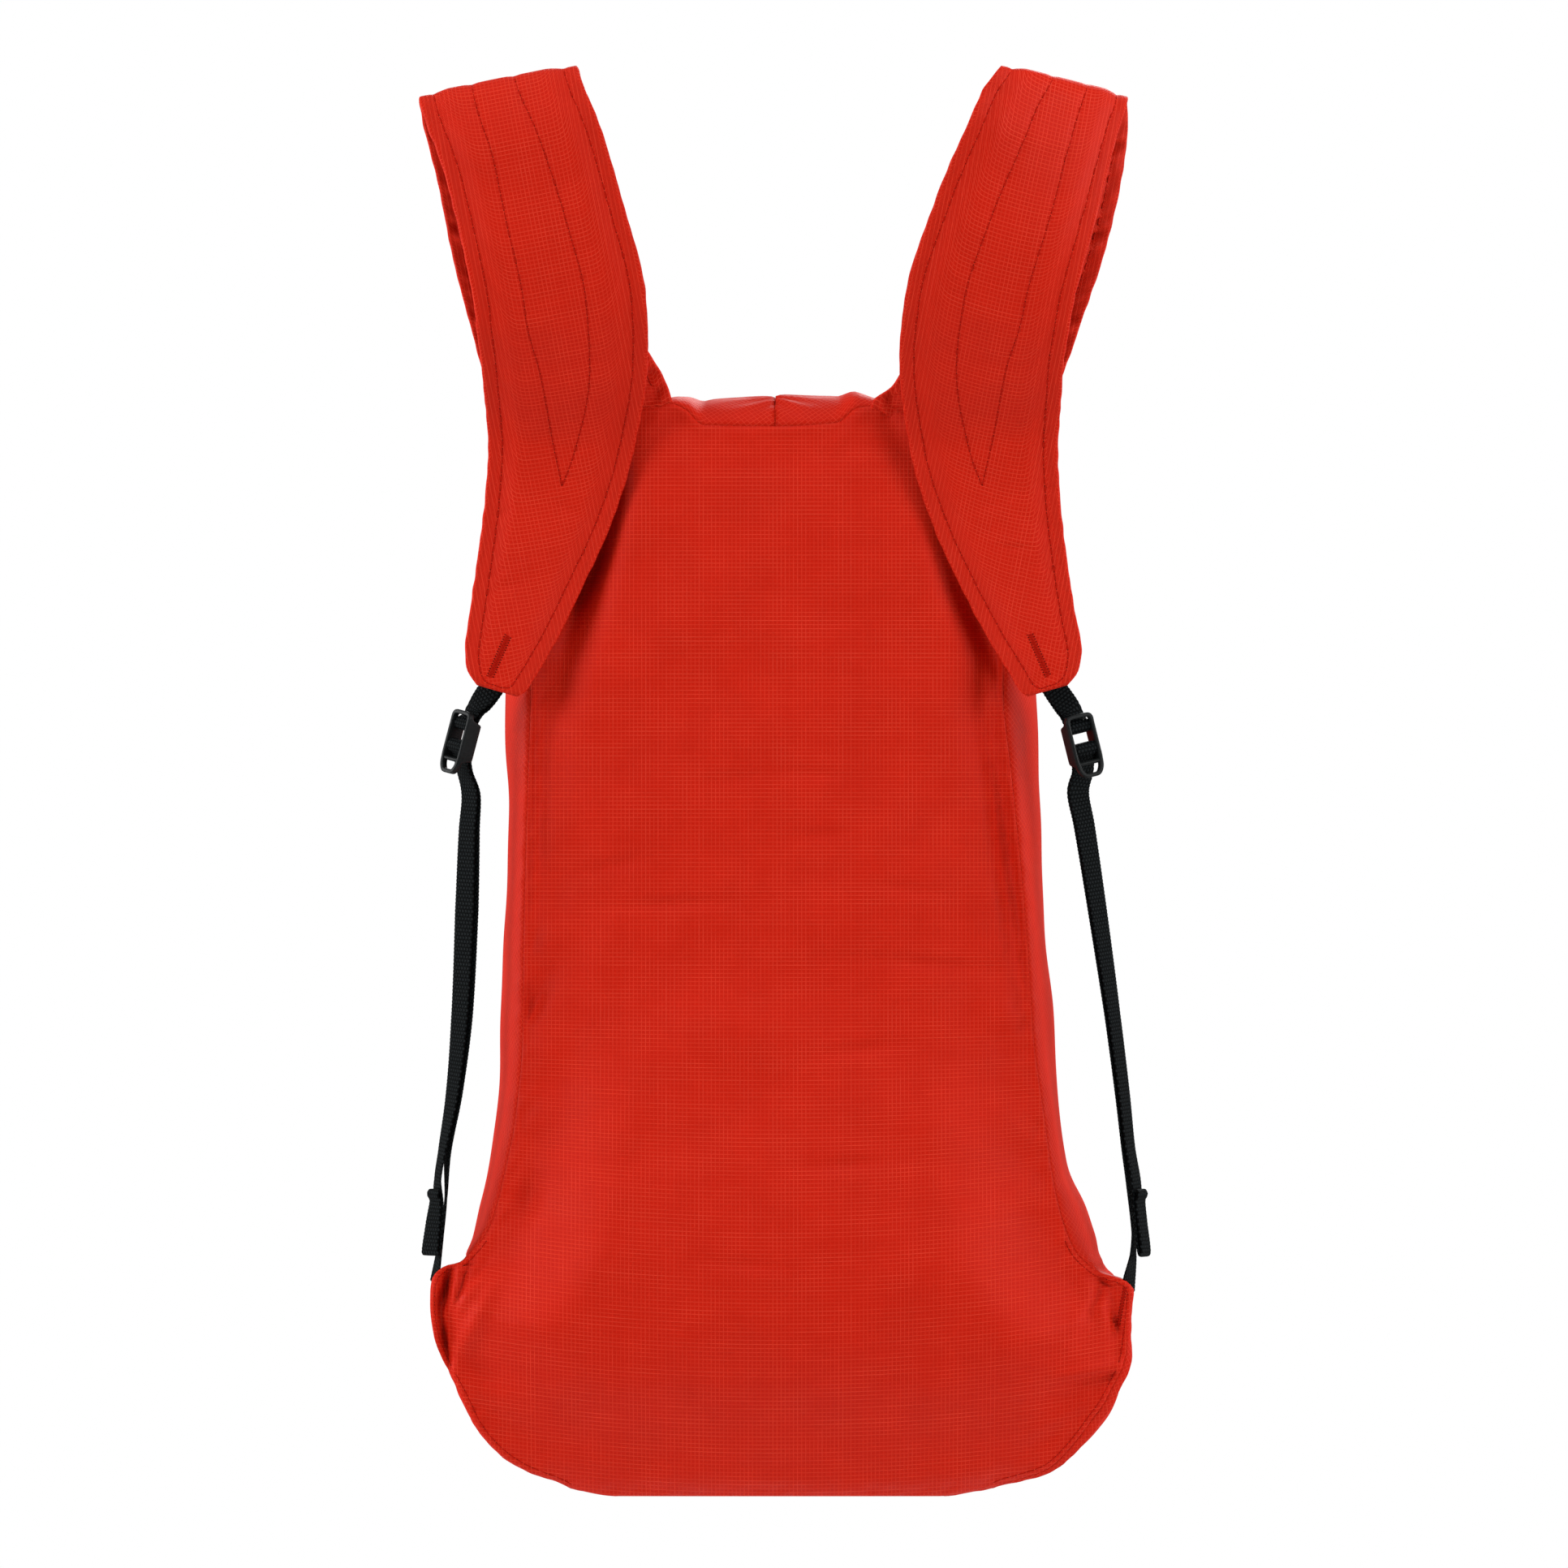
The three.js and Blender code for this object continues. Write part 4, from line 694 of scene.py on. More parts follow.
# %% Cut the strip into its three pieces
STRIP_PIECES = [
    ("gusset_left_cloth", "gusset_left", 0, LEFT_END, bias_cloth),
    ("bottom_cloth", "bottom_panel", LEFT_END, BASE_STOP - 1, bag_cloth),
    ("gusset_right_cloth", "gusset_right", BASE_STOP - 1, len(strip) - 1, bias_cloth),
]
for name, node, start, stop, finish in STRIP_PIECES:
    made = sheet(name, strip[start:stop + 1], strip_flat[start:stop + 1])
    dress(wall(made), finish, "cloth", node)

# %% [markdown]
# ## Padded straps
#
# Each strap is one band: up the back run from the shoulder seam, over the fold it hangs by and down the front
# run to a blunt tip. Two cloths hold a thin foam, sewn together a few millimetres in from the edge and along
# a long V that stops the foam from moving. A voxel remesh would wipe out so thin a band, so it is a profile
# carried along a path: the thickness falls to a rolled edge, swells over the foam, and dips at every stitch.

# %% The path of each strap: middle, width, tilt of the inner edge, turn of the outer edge, share of padding
STRAPS = {
    "left": table("x y height width tilt yaw pad", [
        (-77.2, 8.6, 460.4, 70.4, 19.4, 2.2, 0), (-79, 3.8, 466.2, 70.4, 19.4, 2.2, 0),
        (-82.5, 2.2, 475.5, 70.4, 19, 0, 0.5), (-91.8, -3, 491.9, 70.4, 18, 0, 1),
        (-99, -9, 517.5, 70.4, 16, 0, 1),
        (-106.4, -16, 546.5, 70.4, 15, 0, 1), (-112.8, -21.5, 579.3, 70.4, 13, 0, 1),
        (-118.6, -24.5, 602, 70.2, 11.5, 0, 0.8), (-119.9, -28, 609.5, 70.2, 10.7, 0, 0.6),
        (-120.3, -33, 612.8, 70.2, 11.2, 0, 0.6), (-119.3, -38.5, 609, 70.2, 11, 0, 0.6),
        (-117, -42, 602, 70.2, 12.5, 0, 0.8), (-110.6, -46.5, 586, 70.4, 14, 0, 1),
        (-101.3, -47.5, 552.5, 71.8, 13, 0, 1), (-93.5, -41, 517.1, 74.3, 8, 0, 1),
        (-91.8, -27, 487.5, 71.5, 2, 0, 1), (-94, -9.5, 456.5, 63.4, -6, 0, 1),
        (-99.3, -6, 429.4, 56.2, -12, 0, 1), (-107.1, -8.5, 402.6, 47.5, -16, 0, 0.9),
        (-114.4, -14, 379.1, 39.8, -20, 0, 0.7), (-120.4, -18, 361, 32, -22, 0, 0.3),
        (-121.6, -19.2, 354, 26, -20, 0, 0.1), (-121.4, -20, 350.3, 18, -16, 0, 0),
    ]),
    "right": table("x y height width tilt yaw pad", [
        (73.6, 7.8, 460.4, 70.4, 16.9, 2.2, 0), (75.2, 2.5, 466.3, 70.4, 16.9, 2.2, 0),
        (81.4, 2.2, 475.5, 63, 17, 0, 0.5), (90, -3, 491.9, 66, 17, 2, 1), (97.4, -9, 517.5, 70.4, 17, 5, 1),
        (107.9, -16, 546.5, 70.4, 16, 12, 1), (117.5, -21.5, 579.3, 70.4, 13, 22, 1),
        (123, -24.5, 602, 70.2, 10.5, 32, 0.8), (124, -28, 609.8, 70.2, 9.5, 36, 0.6),
        (124, -33, 612.8, 70.2, 9.5, 36, 0.6), (122.2, -38.5, 609, 70.2, 10, 33, 0.6),
        (118.7, -42, 602, 70.2, 12, 30, 0.8), (112.8, -46.5, 585.5, 70.4, 14, 26, 1),
        (101.4, -47.5, 552.2, 70.6, 13, 11, 1), (91.3, -41, 517.4, 72.4, 8, 3, 1),
        (88.2, -27, 488.2, 70.8, 2, 0, 1), (89.9, -10.5, 456.5, 64.5, -6, 0, 1),
        (94.9, -7.8, 429.3, 56.9, -12, 0, 1), (102.5, -9.5, 402.6, 47.9, -16, 0, 0.9),
        (110.4, -14, 379.2, 39.4, -20, 0, 0.7), (117.2, -18, 361, 32, -22, 0, 0.3),
        (118, -19.2, 354, 26, -20, 0, 0.1), (117.2, -20, 350.3, 18, -16, 0, 0),
    ]),
}

# %% Faint creases of the front runs, and the quilted V as a share of the half-width at each station
STRAP_CREASES = table("x height reach width turn depth", [
    (103.5, 412.3, 6, 1.2, -3, -0.8), (103, 415, 8, 1.9, -3, 0.5), (118, 438.5, 4.5, 1.1, -14, -0.7),
    (112, 424, 13, 3, -18, -0.5), (95, 432, 9, 2.4, 25, -0.45), (121, 404, 5, 1.3, 12, -0.6),
    (-118, 395, 10, 2, 14, -0.75), (-111, 404, 9, 1.8, 12, 0.5), (-119, 402.5, 7, 1.4, 16, -0.6),
    (-88, 428, 7, 1.8, -30, -0.5), (-119, 428, 5, 1.2, 16, -0.6),
])
QUILT = table("station outer inner", [
    (-1, 0.33, -0.2), (8, 0.33, -0.2), (11, 0.37, -0.24), (12, 0.42, -0.28), (13, 0.42, -0.3),
    (14, 0.29, -0.3), (15, 0.09, -0.21), (15.6, -0.12, -0.12),
])
PATH_SAMPLES = 3000


def across_of(side, tilt, yaw):
    """Direction across a band: level at no tilt, its outer end turned away from the wearer by the yaw."""
    tilt, yaw = np.radians(tilt), np.radians(yaw)
    return np.stack([np.cos(yaw) * np.cos(tilt), side * np.sin(yaw) * np.cos(tilt), -side * np.sin(tilt)], -1)


def strap_path(name, stations):
    """Middle line, across and outward directions, half-width and padding at each station of a strap."""
    rows = {**STRAPS[name], "station": np.arange(len(STRAPS[name]["x"])) - 1.0}
    column = {key: read(rows, "station", key, stations) for key in STRAPS[name]}
    middle = np.stack([column["x"], column["y"], column["height"]], -1)
    sideways = across_of(SIDE[name], column["tilt"], column["yaw"])
    outside = unit(np.cross(unit(np.gradient(middle, axis=0)), sideways))
    return middle, sideways, outside, column["width"] / 2, column["pad"]


def even_stations(name, count):
    """Stations at even distances along a strap's middle line."""
    dense = np.linspace(-1, len(STRAPS[name]["x"]) - 2, PATH_SAMPLES)
    run = lengths(strap_path(name, dense)[0])
    return np.interp(np.linspace(0, run[-1], count), run, dense)


# %% Thickness of a strap at every place of its grid
STITCH_INSET, GROOVE, QUILT_GROOVE, GROOVE_DEPTH, QUILT_END = 6.4, 1.3, 1.95, 0.5, (15.45, 15.75)
STRAP_EDGE, STRAP_PAD, STRAP_ROLL, STRAP_PUCKER, STRAP_STRETCH, THIN_SHARE = 1.0, 1.9, 1.1, 0.12, 0.3, 0.4
FOAM_START, FOAM_FULL = STITCH_INSET - 0.5, STITCH_INSET + 8
RUFFLE, RUFFLE_RISE, RUFFLE_REACH, RUFFLE_END = 1.4, (0.5, 6), 13, (6.2, 7.2)
RUFFLE_SLANT, RUFFLE_STRETCH = 0.5, 0.2


def strap_thickness(name, stations, shares, middle, half, pad):
    """Half the thickness, with a rolled edge, foam inside the edge stitch and a groove at every line of
    stitches, and how far the ruffles of the back run stand out."""
    run, half, pad = lengths(middle)[:, None], half[:, None], pad[:, None]
    to_side = half * (1 - np.abs(shares))
    inset = np.minimum.reduce([to_side, run[-1] - run + 0 * to_side, run + 0 * to_side])
    roll = np.sqrt(1 - (1 - np.clip(inset / STRAP_ROLL, 0, 1)) ** 2)
    foam = STRAP_PAD * pad * smooth(inset, FOAM_START, FOAM_FULL)
    groove = np.exp(-((inset - STITCH_INSET) / GROOVE) ** 2)
    quilted = 1 - smooth(stations, *QUILT_END)[:, None]
    for line in ("outer", "inner"):
        off_line = (shares * SIDE[name] - read(QUILT, "station", line, stations)[:, None]) * half
        groove = np.maximum(groove, quilted * np.exp(-(off_line / QUILT_GROOVE) ** 2))
    pucker = ripple(run + 0 * to_side, STRAP_STRETCH * to_side, waves=7, longest=13, shortest=6, seed=41)
    pucker *= STRAP_PUCKER * (THIN_SHARE + groove)
    sunk = GROOVE_DEPTH * groove * (THIN_SHARE + pad * (1 - THIN_SHARE))
    crushed = RUFFLE * smooth(to_side, *RUFFLE_RISE) * np.exp(-(to_side / RUFFLE_REACH) ** 2)
    crushed *= 1 - smooth(stations, *RUFFLE_END)[:, None]
    slanted, stretched = run + RUFFLE_SLANT * to_side, RUFFLE_STRETCH * to_side
    pleats = ripple(slanted, stretched, waves=5, longest=11, shortest=5.5, seed=43)
    return roll * (STRAP_EDGE + foam - sunk + pucker), crushed * pleats


# %% The straps' grids: the outer face from edge to edge, then the inner face back again
STRAP_ROWS, STRAP_COLUMNS, STRAP_CROWD = 330, 62, 0.6
CURL, CURL_RISE, CURL_FALL, FRONT_RUN = 3.0, (13.2, 15.2), (17.5, 20), (12, 13)
EDGE_WOBBLE, WOBBLE_WIDTH, FOLD_TILT = 0.13, 40.0, 10.7
strap_shares = 2 * crowded(STRAP_COLUMNS, STRAP_CROWD) - 1


def strap_faces(name):
    """Points of a strap's outer and inner face, and its flat coordinates in line with the fold."""
    stations, shares = even_stations(name, STRAP_ROWS), strap_shares[None, :]
    middle, sideways, outside, half, pad = strap_path(name, stations)
    run = lengths(middle)[:, None]
    wobble = EDGE_WOBBLE * ripple(run, WOBBLE_WIDTH * shares, waves=6, longest=15, shortest=7, seed=47)
    spine = middle[:, None] + sideways[:, None] * (shares * (half[:, None] + wobble))[..., None]
    thick, pleats = strap_thickness(name, stations, shares, middle, half, pad)
    curl = CURL * smooth(stations, *CURL_RISE) * (1 - smooth(stations, *CURL_FALL))
    inner = np.clip(-shares * SIDE[name], 0, 1)
    pressed = relief_of(STRAP_CREASES, spine[..., 0], spine[..., 2]) * smooth(stations, *FRONT_RUN)[:, None]
    spine = spine + outside[:, None] * (pleats + pressed - curl[:, None] * inner ** 2)[..., None]
    x, y, z = np.moveaxis(spine, -1, 0)
    cosine, sine = np.cos(np.radians(FOLD_TILT)), SIDE[name] * np.sin(np.radians(FOLD_TILT))
    up = x * sine + z * cosine
    climb = np.hypot(np.diff(up, axis=0, prepend=up[:1]), np.diff(y, axis=0, prepend=y[:1]))
    flat = np.stack([x * cosine - z * sine, up[:1] + np.cumsum(climb, axis=0)], -1)
    half_thick = outside[:, None] * thick[..., None]
    return spine + half_thick, spine - half_thick, flat, stations


strap_grids = {}
for name in STRAPS:
    upper, lower, flat, stations = strap_faces(name)
    strap_grids[name] = (upper, lower, stations)
    ring = np.concatenate([upper, lower[:, -2:0:-1]], axis=1)
    ring_flat = np.concatenate([flat, flat[:, -2:0:-1]], axis=1)
    made = sheet(f"strap_{name}_padded", ring, ring_flat, wrap=True)
    dress(outward(made), strap_cloth, "strap_cloth", f"strap_{name}")

# %% [markdown]
# ## Webbing
#
# The adjuster is one length of narrow nylon webbing: from the wing up to the buckle, over its middle bar and
# down again as a tail, whose end is doubled back and sewn. A curve with a bevel would twist at the buckle, so
# the band is a flat section carried along a smooth route, with its own direction across at every station.

# %% The webbing's finish: raised yarns, with painted shade in the hollows between them
webbing_weave, have, give = new_group(
    "webbing_weave",
    [("Place", VECTOR, (0, 0, 0)), ("Pitch", NUMBER, 0.0009), ("Ground", COLOUR, (0.01, 0.012, 0.012, 1)),
     ("Raised", COLOUR, (0.03, 0.034, 0.035, 1))],
    [("Color", COLOUR), ("Roughness", NUMBER), ("Height", NUMBER)],
)
split = add_node(webbing_weave, "ShaderNodeSeparateXYZ", {0: have["Place"]}).outputs
row = maths(webbing_weave, "DIVIDE", split[1], have["Pitch"])
odd_row = maths(webbing_weave, "PINGPONG", maths(webbing_weave, "FLOOR", row), 1.0)
column = maths(webbing_weave, "DIVIDE", split[0], have["Pitch"])
column = maths(webbing_weave, "MULTIPLY_ADD", odd_row, 0.5, column)
bumps = [
    maths(webbing_weave, "SINE", maths(webbing_weave, "MULTIPLY", maths(webbing_weave, "FRACT", v), np.pi))
    for v in (row, column)
]
yarn = maths(webbing_weave, "MULTIPLY", *bumps)
dust = noise_at(webbing_weave, have["Place"], 300, 2)
# painted shade: the colour is the dark ground colour in the hollows between yarns and the raised colour on
# their tops
webbing_weave.links.new(blend_colours(webbing_weave, yarn, have["Ground"], have["Raised"]), give["Color"])
webbing_weave.links.new(varied(webbing_weave, dust, 0.5, 0.75), give["Roughness"])
webbing_weave.links.new(yarn, give["Height"])
YARN_DEPTH, YARN_STRENGTH, TAPE_SPECULAR = 0.0005, 1.0, 0.04


def woven_tape(name, pitch, hollow_shade, raised):
    """Black woven tape on its own flat coordinates, with painted shade in the hollows between its yarns."""
    settings = {"Pitch": pitch, "Ground": hollow_shade, "Raised": raised}
    return woven_material(name, webbing_weave, settings, YARN_DEPTH, YARN_STRENGTH, TAPE_SPECULAR)[0]


webbing = woven_tape(
    "black_webbing", pitch=0.00165, hollow_shade=(0.0007, 0.0009, 0.001, 1), raised=(0.0105, 0.013, 0.0142, 1)
)
zip_tape = woven_tape(
    "zip_tape", pitch=0.0006, hollow_shade=(0.003, 0.003, 0.003, 1), raised=(0.011, 0.011, 0.012, 1)
)

# %% Routes: the buckle's place, the sewn tip, and the two runs between wing and buckle
LOCKS = {
    "left": {"at": (-137.2, -12.5, 327.8), "lean": 14.7, "yaw": 54, "tip": (-120, -15.6, 357.5)},
    "right": {"at": (132.4, -12.5, 326.4), "lean": 13.9, "yaw": 27, "tip": (116.4, -15.6, 357.5)},
}
LOADED = {
    "left": table("x y height yaw", [
        (-148.9, 4.6, 92.6, 66), (-147.6, 2.6, 101.4, 74), (-145.6, 0, 115, 82), (-143.9, -0.5, 130, 87),
        (-143.1, -1.1, 150, 74), (-139.4, -1.8, 175, 58), (-135.8, -2.4, 208, 46), (-133.6, -3.6, 255, 38),
        (-132.6, -4.6, 290, 46), (-132.2, -5.1, 306, 48),
    ]),
    "right": table("x y height yaw", [
        (152.2, 3.6, 88.6, 52), (153.2, 1.6, 96.6, 60), (154.6, -0.9, 106, 76), (155, -1.2, 115, 80),
        (153.4, -1.4, 135, 72), (151.6, -1.7, 152, 66), (149.2, -2.1, 175, 62), (144.8, -2.7, 210, 58),
        (138.6, -3.7, 254, 46), (132.8, -4.5, 292, 36), (130.2, -5.1, 307, 31),
    ]),
}
TAIL = {
    "left": table("x y height yaw", [
        (-133.6, -6.5, 306, 48), (-134.6, -6.2, 290, 46), (-135.8, -5.3, 255, 38), (-138, -4, 208, 46),
        (-141.2, -2.9, 175, 58), (-145.6, -2.2, 150, 72), (-147.4, -1.4, 138, 74), (-147.9, -1.3, 128.4, 62),
        (-148.8, -1.5, 120, 52), (-150.2, -2.2, 106.4, 44),
    ]),
    "right": table("x y height yaw", [
        (131.1, -6.6, 307, 31), (133.8, -5.9, 292, 36), (139.8, -5, 254, 46), (146.3, -3.8, 210, 58),
        (150.8, -3.1, 175, 62), (153.4, -2.6, 152, 66), (155.8, -2.3, 138, 66), (157.2, -2.4, 128.4, 66),
        (158, -2.4, 120, 66), (159.4, -3, 106, 66),
    ]),
}
TIP_LOOP = [
    (16, -2), (12.6, -1.1), (10.4, 1.3), (8.5, 2.3), (6.8, 1.6), (6.2, 0), (6.8, -1.6), (8.5, -2.3),
    (12.6, -3.4), (16, -5.2),
]
OVER_BAR = [
    (-11, -6.6), (-6, -3.9), (-3.2, -2.5), (-1.5, -1.9), (0.3, -1.2), (1, 0.6), (0.3, 2.4), (-1.5, 3.1),
    (-3.3, 2.4), (-4, 1), (-4.8, -0.4), (-6.6, -1.9), (-11, -4.8),
]

# %% A smooth route through stations, and the band carried along it
TAPE_HALF, TAPE_THICK, TAPE_STEP, TAPE_SIDES = 5.0, 1.15, 0.3, 18
PICK, SCALLOP, TAPE_CLOSE, TAPE_LEAST = 1.65, 0.24, 0.6, 0.02
EDGE_SQUARE, FACE_SQUARE, ROUTE_SAMPLES = 0.35, 0.6, 60


def route(points, spacing):
    """Centripetal spline: each point's slope weighs its two neighbours by the roots of their distances."""
    points = np.asarray(points, float)
    knots = np.concatenate([[0], np.cumsum(np.linalg.norm(np.diff(points, axis=0), axis=1) ** 0.5)])
    step, rise = np.diff(knots)[:, None], np.diff(points, axis=0)
    chord = rise / step
    wide = (points[2:] - points[:-2]) / (knots[2:] - knots[:-2])[:, None]
    slope = np.concatenate([chord[:1], chord[:-1] - wide + chord[1:], chord[-1:]])
    at = np.linspace(0, knots[-1], ROUTE_SAMPLES * len(points))
    i = np.clip(np.searchsorted(knots, at, side="right") - 1, 0, len(points) - 2)
    t = ((at - knots[i]) / step[i, 0])[:, None]
    leave, arrive = t * (1 - t) ** 2 * slope[i], t * t * (t - 1) * slope[i + 1]
    curve = points[i] + rise[i] * t * t * (3 - 2 * t) + step[i] * (leave + arrive)
    run = lengths(curve)
    even = np.linspace(0, run[-1], int(run[-1] / spacing) + 2)
    share = np.interp(even, run, at)
    place = np.interp(share, knots, np.arange(len(points)))
    return curve_at(even, run, curve), place, even


def rounded(count, across, through):
    """A rounded rectangle from -1 to 1 both ways; the smaller the powers, the squarer it is."""
    turn = angles(count)
    wide = np.sign(np.cos(turn)) * np.abs(np.cos(turn)) ** across
    return wide, np.sign(np.sin(turn)) * np.abs(np.sin(turn)) ** through


def tape(name, points, directions):
    """A flat section with rounded, scalloped edges, carried along the route through the points."""
    curve, place, run = route(points, TAPE_STEP)
    sideways = curve_at(place, np.arange(len(points)), np.asarray(directions))
    ahead = unit(np.gradient(curve, axis=0))
    sideways = unit(sideways - ahead * np.sum(sideways * ahead, axis=1, keepdims=True))
    outside = np.cross(ahead, sideways)
    wide, high = rounded(TAPE_SIDES, EDGE_SQUARE, FACE_SQUARE)
    half = TAPE_HALF + SCALLOP * (np.abs(np.sin(np.pi * run / PICK)) - 0.5)
    closing = np.clip(np.minimum(run, run[-1] - run) / TAPE_CLOSE, 0, 1) ** 0.5
    thick = TAPE_THICK / 2 * np.clip(closing, TAPE_LEAST, 1)
    grid = curve[:, None] + sideways[:, None] * (half[:, None] * wide)[..., None]
    grid += outside[:, None] * (thick[:, None] * high)[..., None]
    flat = np.stack(np.broadcast_arrays(TAPE_HALF * wide, run[:, None]), -1)
    faces = quads_of(*grid.shape[:2], wrap=True).tolist()
    cap = np.arange(TAPE_SIDES)
    ends = [cap.tolist(), (cap + (len(run) - 1) * TAPE_SIDES).tolist()]
    return make_object(name, grid, faces + ends, flat)


# %% Stations inside the buckle and outside it
def lock_axes(name):
    """Across, along and outward directions of a buckle: it leans with the webbing and is turned outwards."""
    side, lock = SIDE[name], LOCKS[name]
    lean, yaw = np.radians(lock["lean"]), np.radians(lock["yaw"])
    along = np.array([-side * np.sin(lean), 0, np.cos(lean)])
    face = np.array([side * np.sin(yaw), -np.cos(yaw), 0])
    face = unit(face - along * (face @ along))
    return np.stack([np.cross(along, face), along, face])


def in_lock(name, places):
    """Points of a buckle's own (across, along, out) coordinates, in the bag's."""
    return np.asarray(LOCKS[name]["at"]) + np.asarray(places, float) @ lock_axes(name)


def loop_points(name, loop):
    """A route inside the buckle and its direction across."""
    points = in_lock(name, np.insert(np.asarray(loop, float), 0, 0, axis=1))
    return points, np.repeat(lock_axes(name)[:1], len(points), axis=0)


def free_points(name, rows):
    """A route outside the buckle and its direction across."""
    points = np.stack([rows["x"], rows["y"], rows["height"]], -1)
    return points, across_of(SIDE[name], 0 * rows["yaw"], rows["yaw"])


# %% The tail's end: doubled back on its outer side, with the cut end crumpled outwards at the top
TAB_ROWS, TAB_GAP, TAB_TURN = 3, 0.68, 0.75
KNOB = [(0.3, 1.2), (1.3, 2.6), (1.5, 4.0), (0.7, 5.2), (-0.1, 4.6)]


def tail_points(name):
    """The tail's route, a tight turn at its end, and the doubled length going up again outside it."""
    points, directions = free_points(name, TAIL[name])
    ahead = unit(np.gradient(points, axis=0))
    outside = np.cross(ahead, directions)
    down = points.copy()
    down[-TAB_ROWS:] -= TAB_GAP * outside[-TAB_ROWS:]
    turn = points[-1:] + TAB_TURN * ahead[-1:]
    up = (points + TAB_GAP * outside)[:-TAB_ROWS - 1:-1]
    knob = np.stack([up[-1] + o * outside[-TAB_ROWS] - h * ahead[-TAB_ROWS] for o, h in KNOB])
    ways = [directions, directions[-1:], directions[:-TAB_ROWS - 1:-1],
            np.repeat(directions[-TAB_ROWS:-TAB_ROWS + 1], len(KNOB), axis=0)]
    return np.concatenate([down, turn, up, knob]), np.concatenate(ways)


# %% Make the tip loops and the adjusters
TIP_SEWN, TIP_LEAN, TIP_LAYER, TIP_BACK = 10, 20, 3, 0.26


def tip_points(name, layer):
    """Two stations behind the strap's tip, the upper one where the webbing is sewn on."""
    side, lean = SIDE[name], np.radians(TIP_LEAN)
    start = np.array(LOCKS[name]["tip"]) + np.array([0, layer, 0])
    step = TIP_SEWN * np.array([-side * np.sin(lean), TIP_BACK, np.cos(lean)])
    direction = across_of(side, np.array([-TIP_LEAN]), np.array([0]))
    return np.stack([start + step, start]), np.repeat(direction, 2, axis=0)


for name in STRAPS:
    first, loop, second = tip_points(name, 0), loop_points(name, TIP_LOOP), tip_points(name, TIP_LAYER)
    route_points = np.concatenate([first[0], loop[0], second[0][::-1]])
    route_ways = np.concatenate([first[1], loop[1], second[1]])
    made = tape(f"tip_loop_{name}", route_points, route_ways)
    dress(outward(made), webbing, "webbing", f"tip_webbing_{name}")
    loaded, over, tail = free_points(name, LOADED[name]), loop_points(name, OVER_BAR), tail_points(name)
    made = tape(f"adjuster_{name}", *(np.concatenate(parts) for parts in zip(loaded, over, tail)))
    dress(outward(made), webbing, "webbing", f"adjuster_webbing_{name}")

# %% [markdown]
# ## Ladder-locks
#
# Each buckle is one small moulding: a rim deep at the sides and cut away behind its two ends, with three bars
# across its window. Extruding an outline would leave knife edges, so the rim is a rounded section carried
# round the outline, and its back edge rises where the moulding is cut away. The bars are rounded rods.

# %% The moulded plastic
PLASTIC_DARK, PLASTIC_PALE = (0.004, 0.0048, 0.005, 1), (0.0085, 0.0098, 0.0102, 1)
plastic, tree, shader = new_material("moulded_plastic", specular=0.12)
place = add_node(tree, "ShaderNodeTexCoord").outputs["Object"]
mottle, spark = noise_at(tree, place, 900, 3), noise_at(tree, place, 4000, 2)
standing = {"Height": spark.outputs[0], "Strength": 0.25, "Distance": 0.00008}
grainy = add_node(tree, "ShaderNodeBump", standing)
shade = blend_colours(tree, mottle.outputs[0], PLASTIC_DARK, PLASTIC_PALE)
tree.links.new(shade, shader.inputs["Base Color"])
tree.links.new(varied(tree, mottle, 0.34, 0.54), shader.inputs["Roughness"])
tree.links.new(grainy.outputs[0], shader.inputs["Normal"])

# %% The rim, in the buckle's own millimetres
RIM_OUTLINE = np.array([(4.4, -14), (6.2, -10.5), (6.9, -6), (6.9, 10), (6.7, 12.5), (5.2, 14)], float)
RIM_WIDTH, RIM_BACK, RIM_FRONT, RIM_THIN, RIM_SQUARE = 1.9, -3.8, 3.8, 1.0, 0.45
CUT_TOP, CUT_BOTTOM, CUT_EASE = 10.0, -7.5, 1.0


def rim_path(count):
    """The rounded outline of the buckle's rim, half a rim inside its outer edge."""
    (x, along), inside = RIM_OUTLINE.T, RIM_WIDTH / 2
    inset = np.stack([x - inside, np.clip(along, along[0] + inside, along[-1] - inside)], -1)
    corners = np.concatenate([inset, inset[::-1] * [-1, 1]])
    corners = np.concatenate([corners, corners[:1]])
    run = lengths(corners)
    even = np.linspace(0, run[-1], count, endpoint=False)
    path = curve_at(even, run, corners)
    return sum(np.roll(path, k, axis=0) for k in range(-2, 3)) / 5


def rim_grid(count=120, sides=20):
    """A rounded rectangle at each place of the rim's path, with its back edge cut away at the two ends."""
    path = rim_path(count)
    ahead = unit(np.roll(path, -1, axis=0) - np.roll(path, 1, axis=0))
    normal = np.stack([ahead[:, 1], -ahead[:, 0]], -1)
    past_end = np.maximum(path[:, 1] - CUT_TOP, CUT_BOTTOM - path[:, 1])
    cut = smooth(past_end, -CUT_EASE, CUT_EASE)
    back_edge = RIM_BACK + (RIM_THIN - RIM_BACK) * cut
    wide, high = rounded(sides, RIM_SQUARE, RIM_SQUARE)
    plan = path[:, None] + normal[:, None] * (wide * RIM_WIDTH / 2)[:, None]
    level = (RIM_FRONT + back_edge)[:, None] / 2 + (RIM_FRONT - back_edge)[:, None] / 2 * high
    return np.concatenate([plan, level[..., None]], -1)


# %% The bars, and one mesh for each buckle
BARS = table("along out radius", [(8.5, 0, 1.3), (-1.5, 0.6, 1.5), (-7.6, 2.4, 0.9)])
BAR_HALF, BAR_DOME = 6.3, 0.8


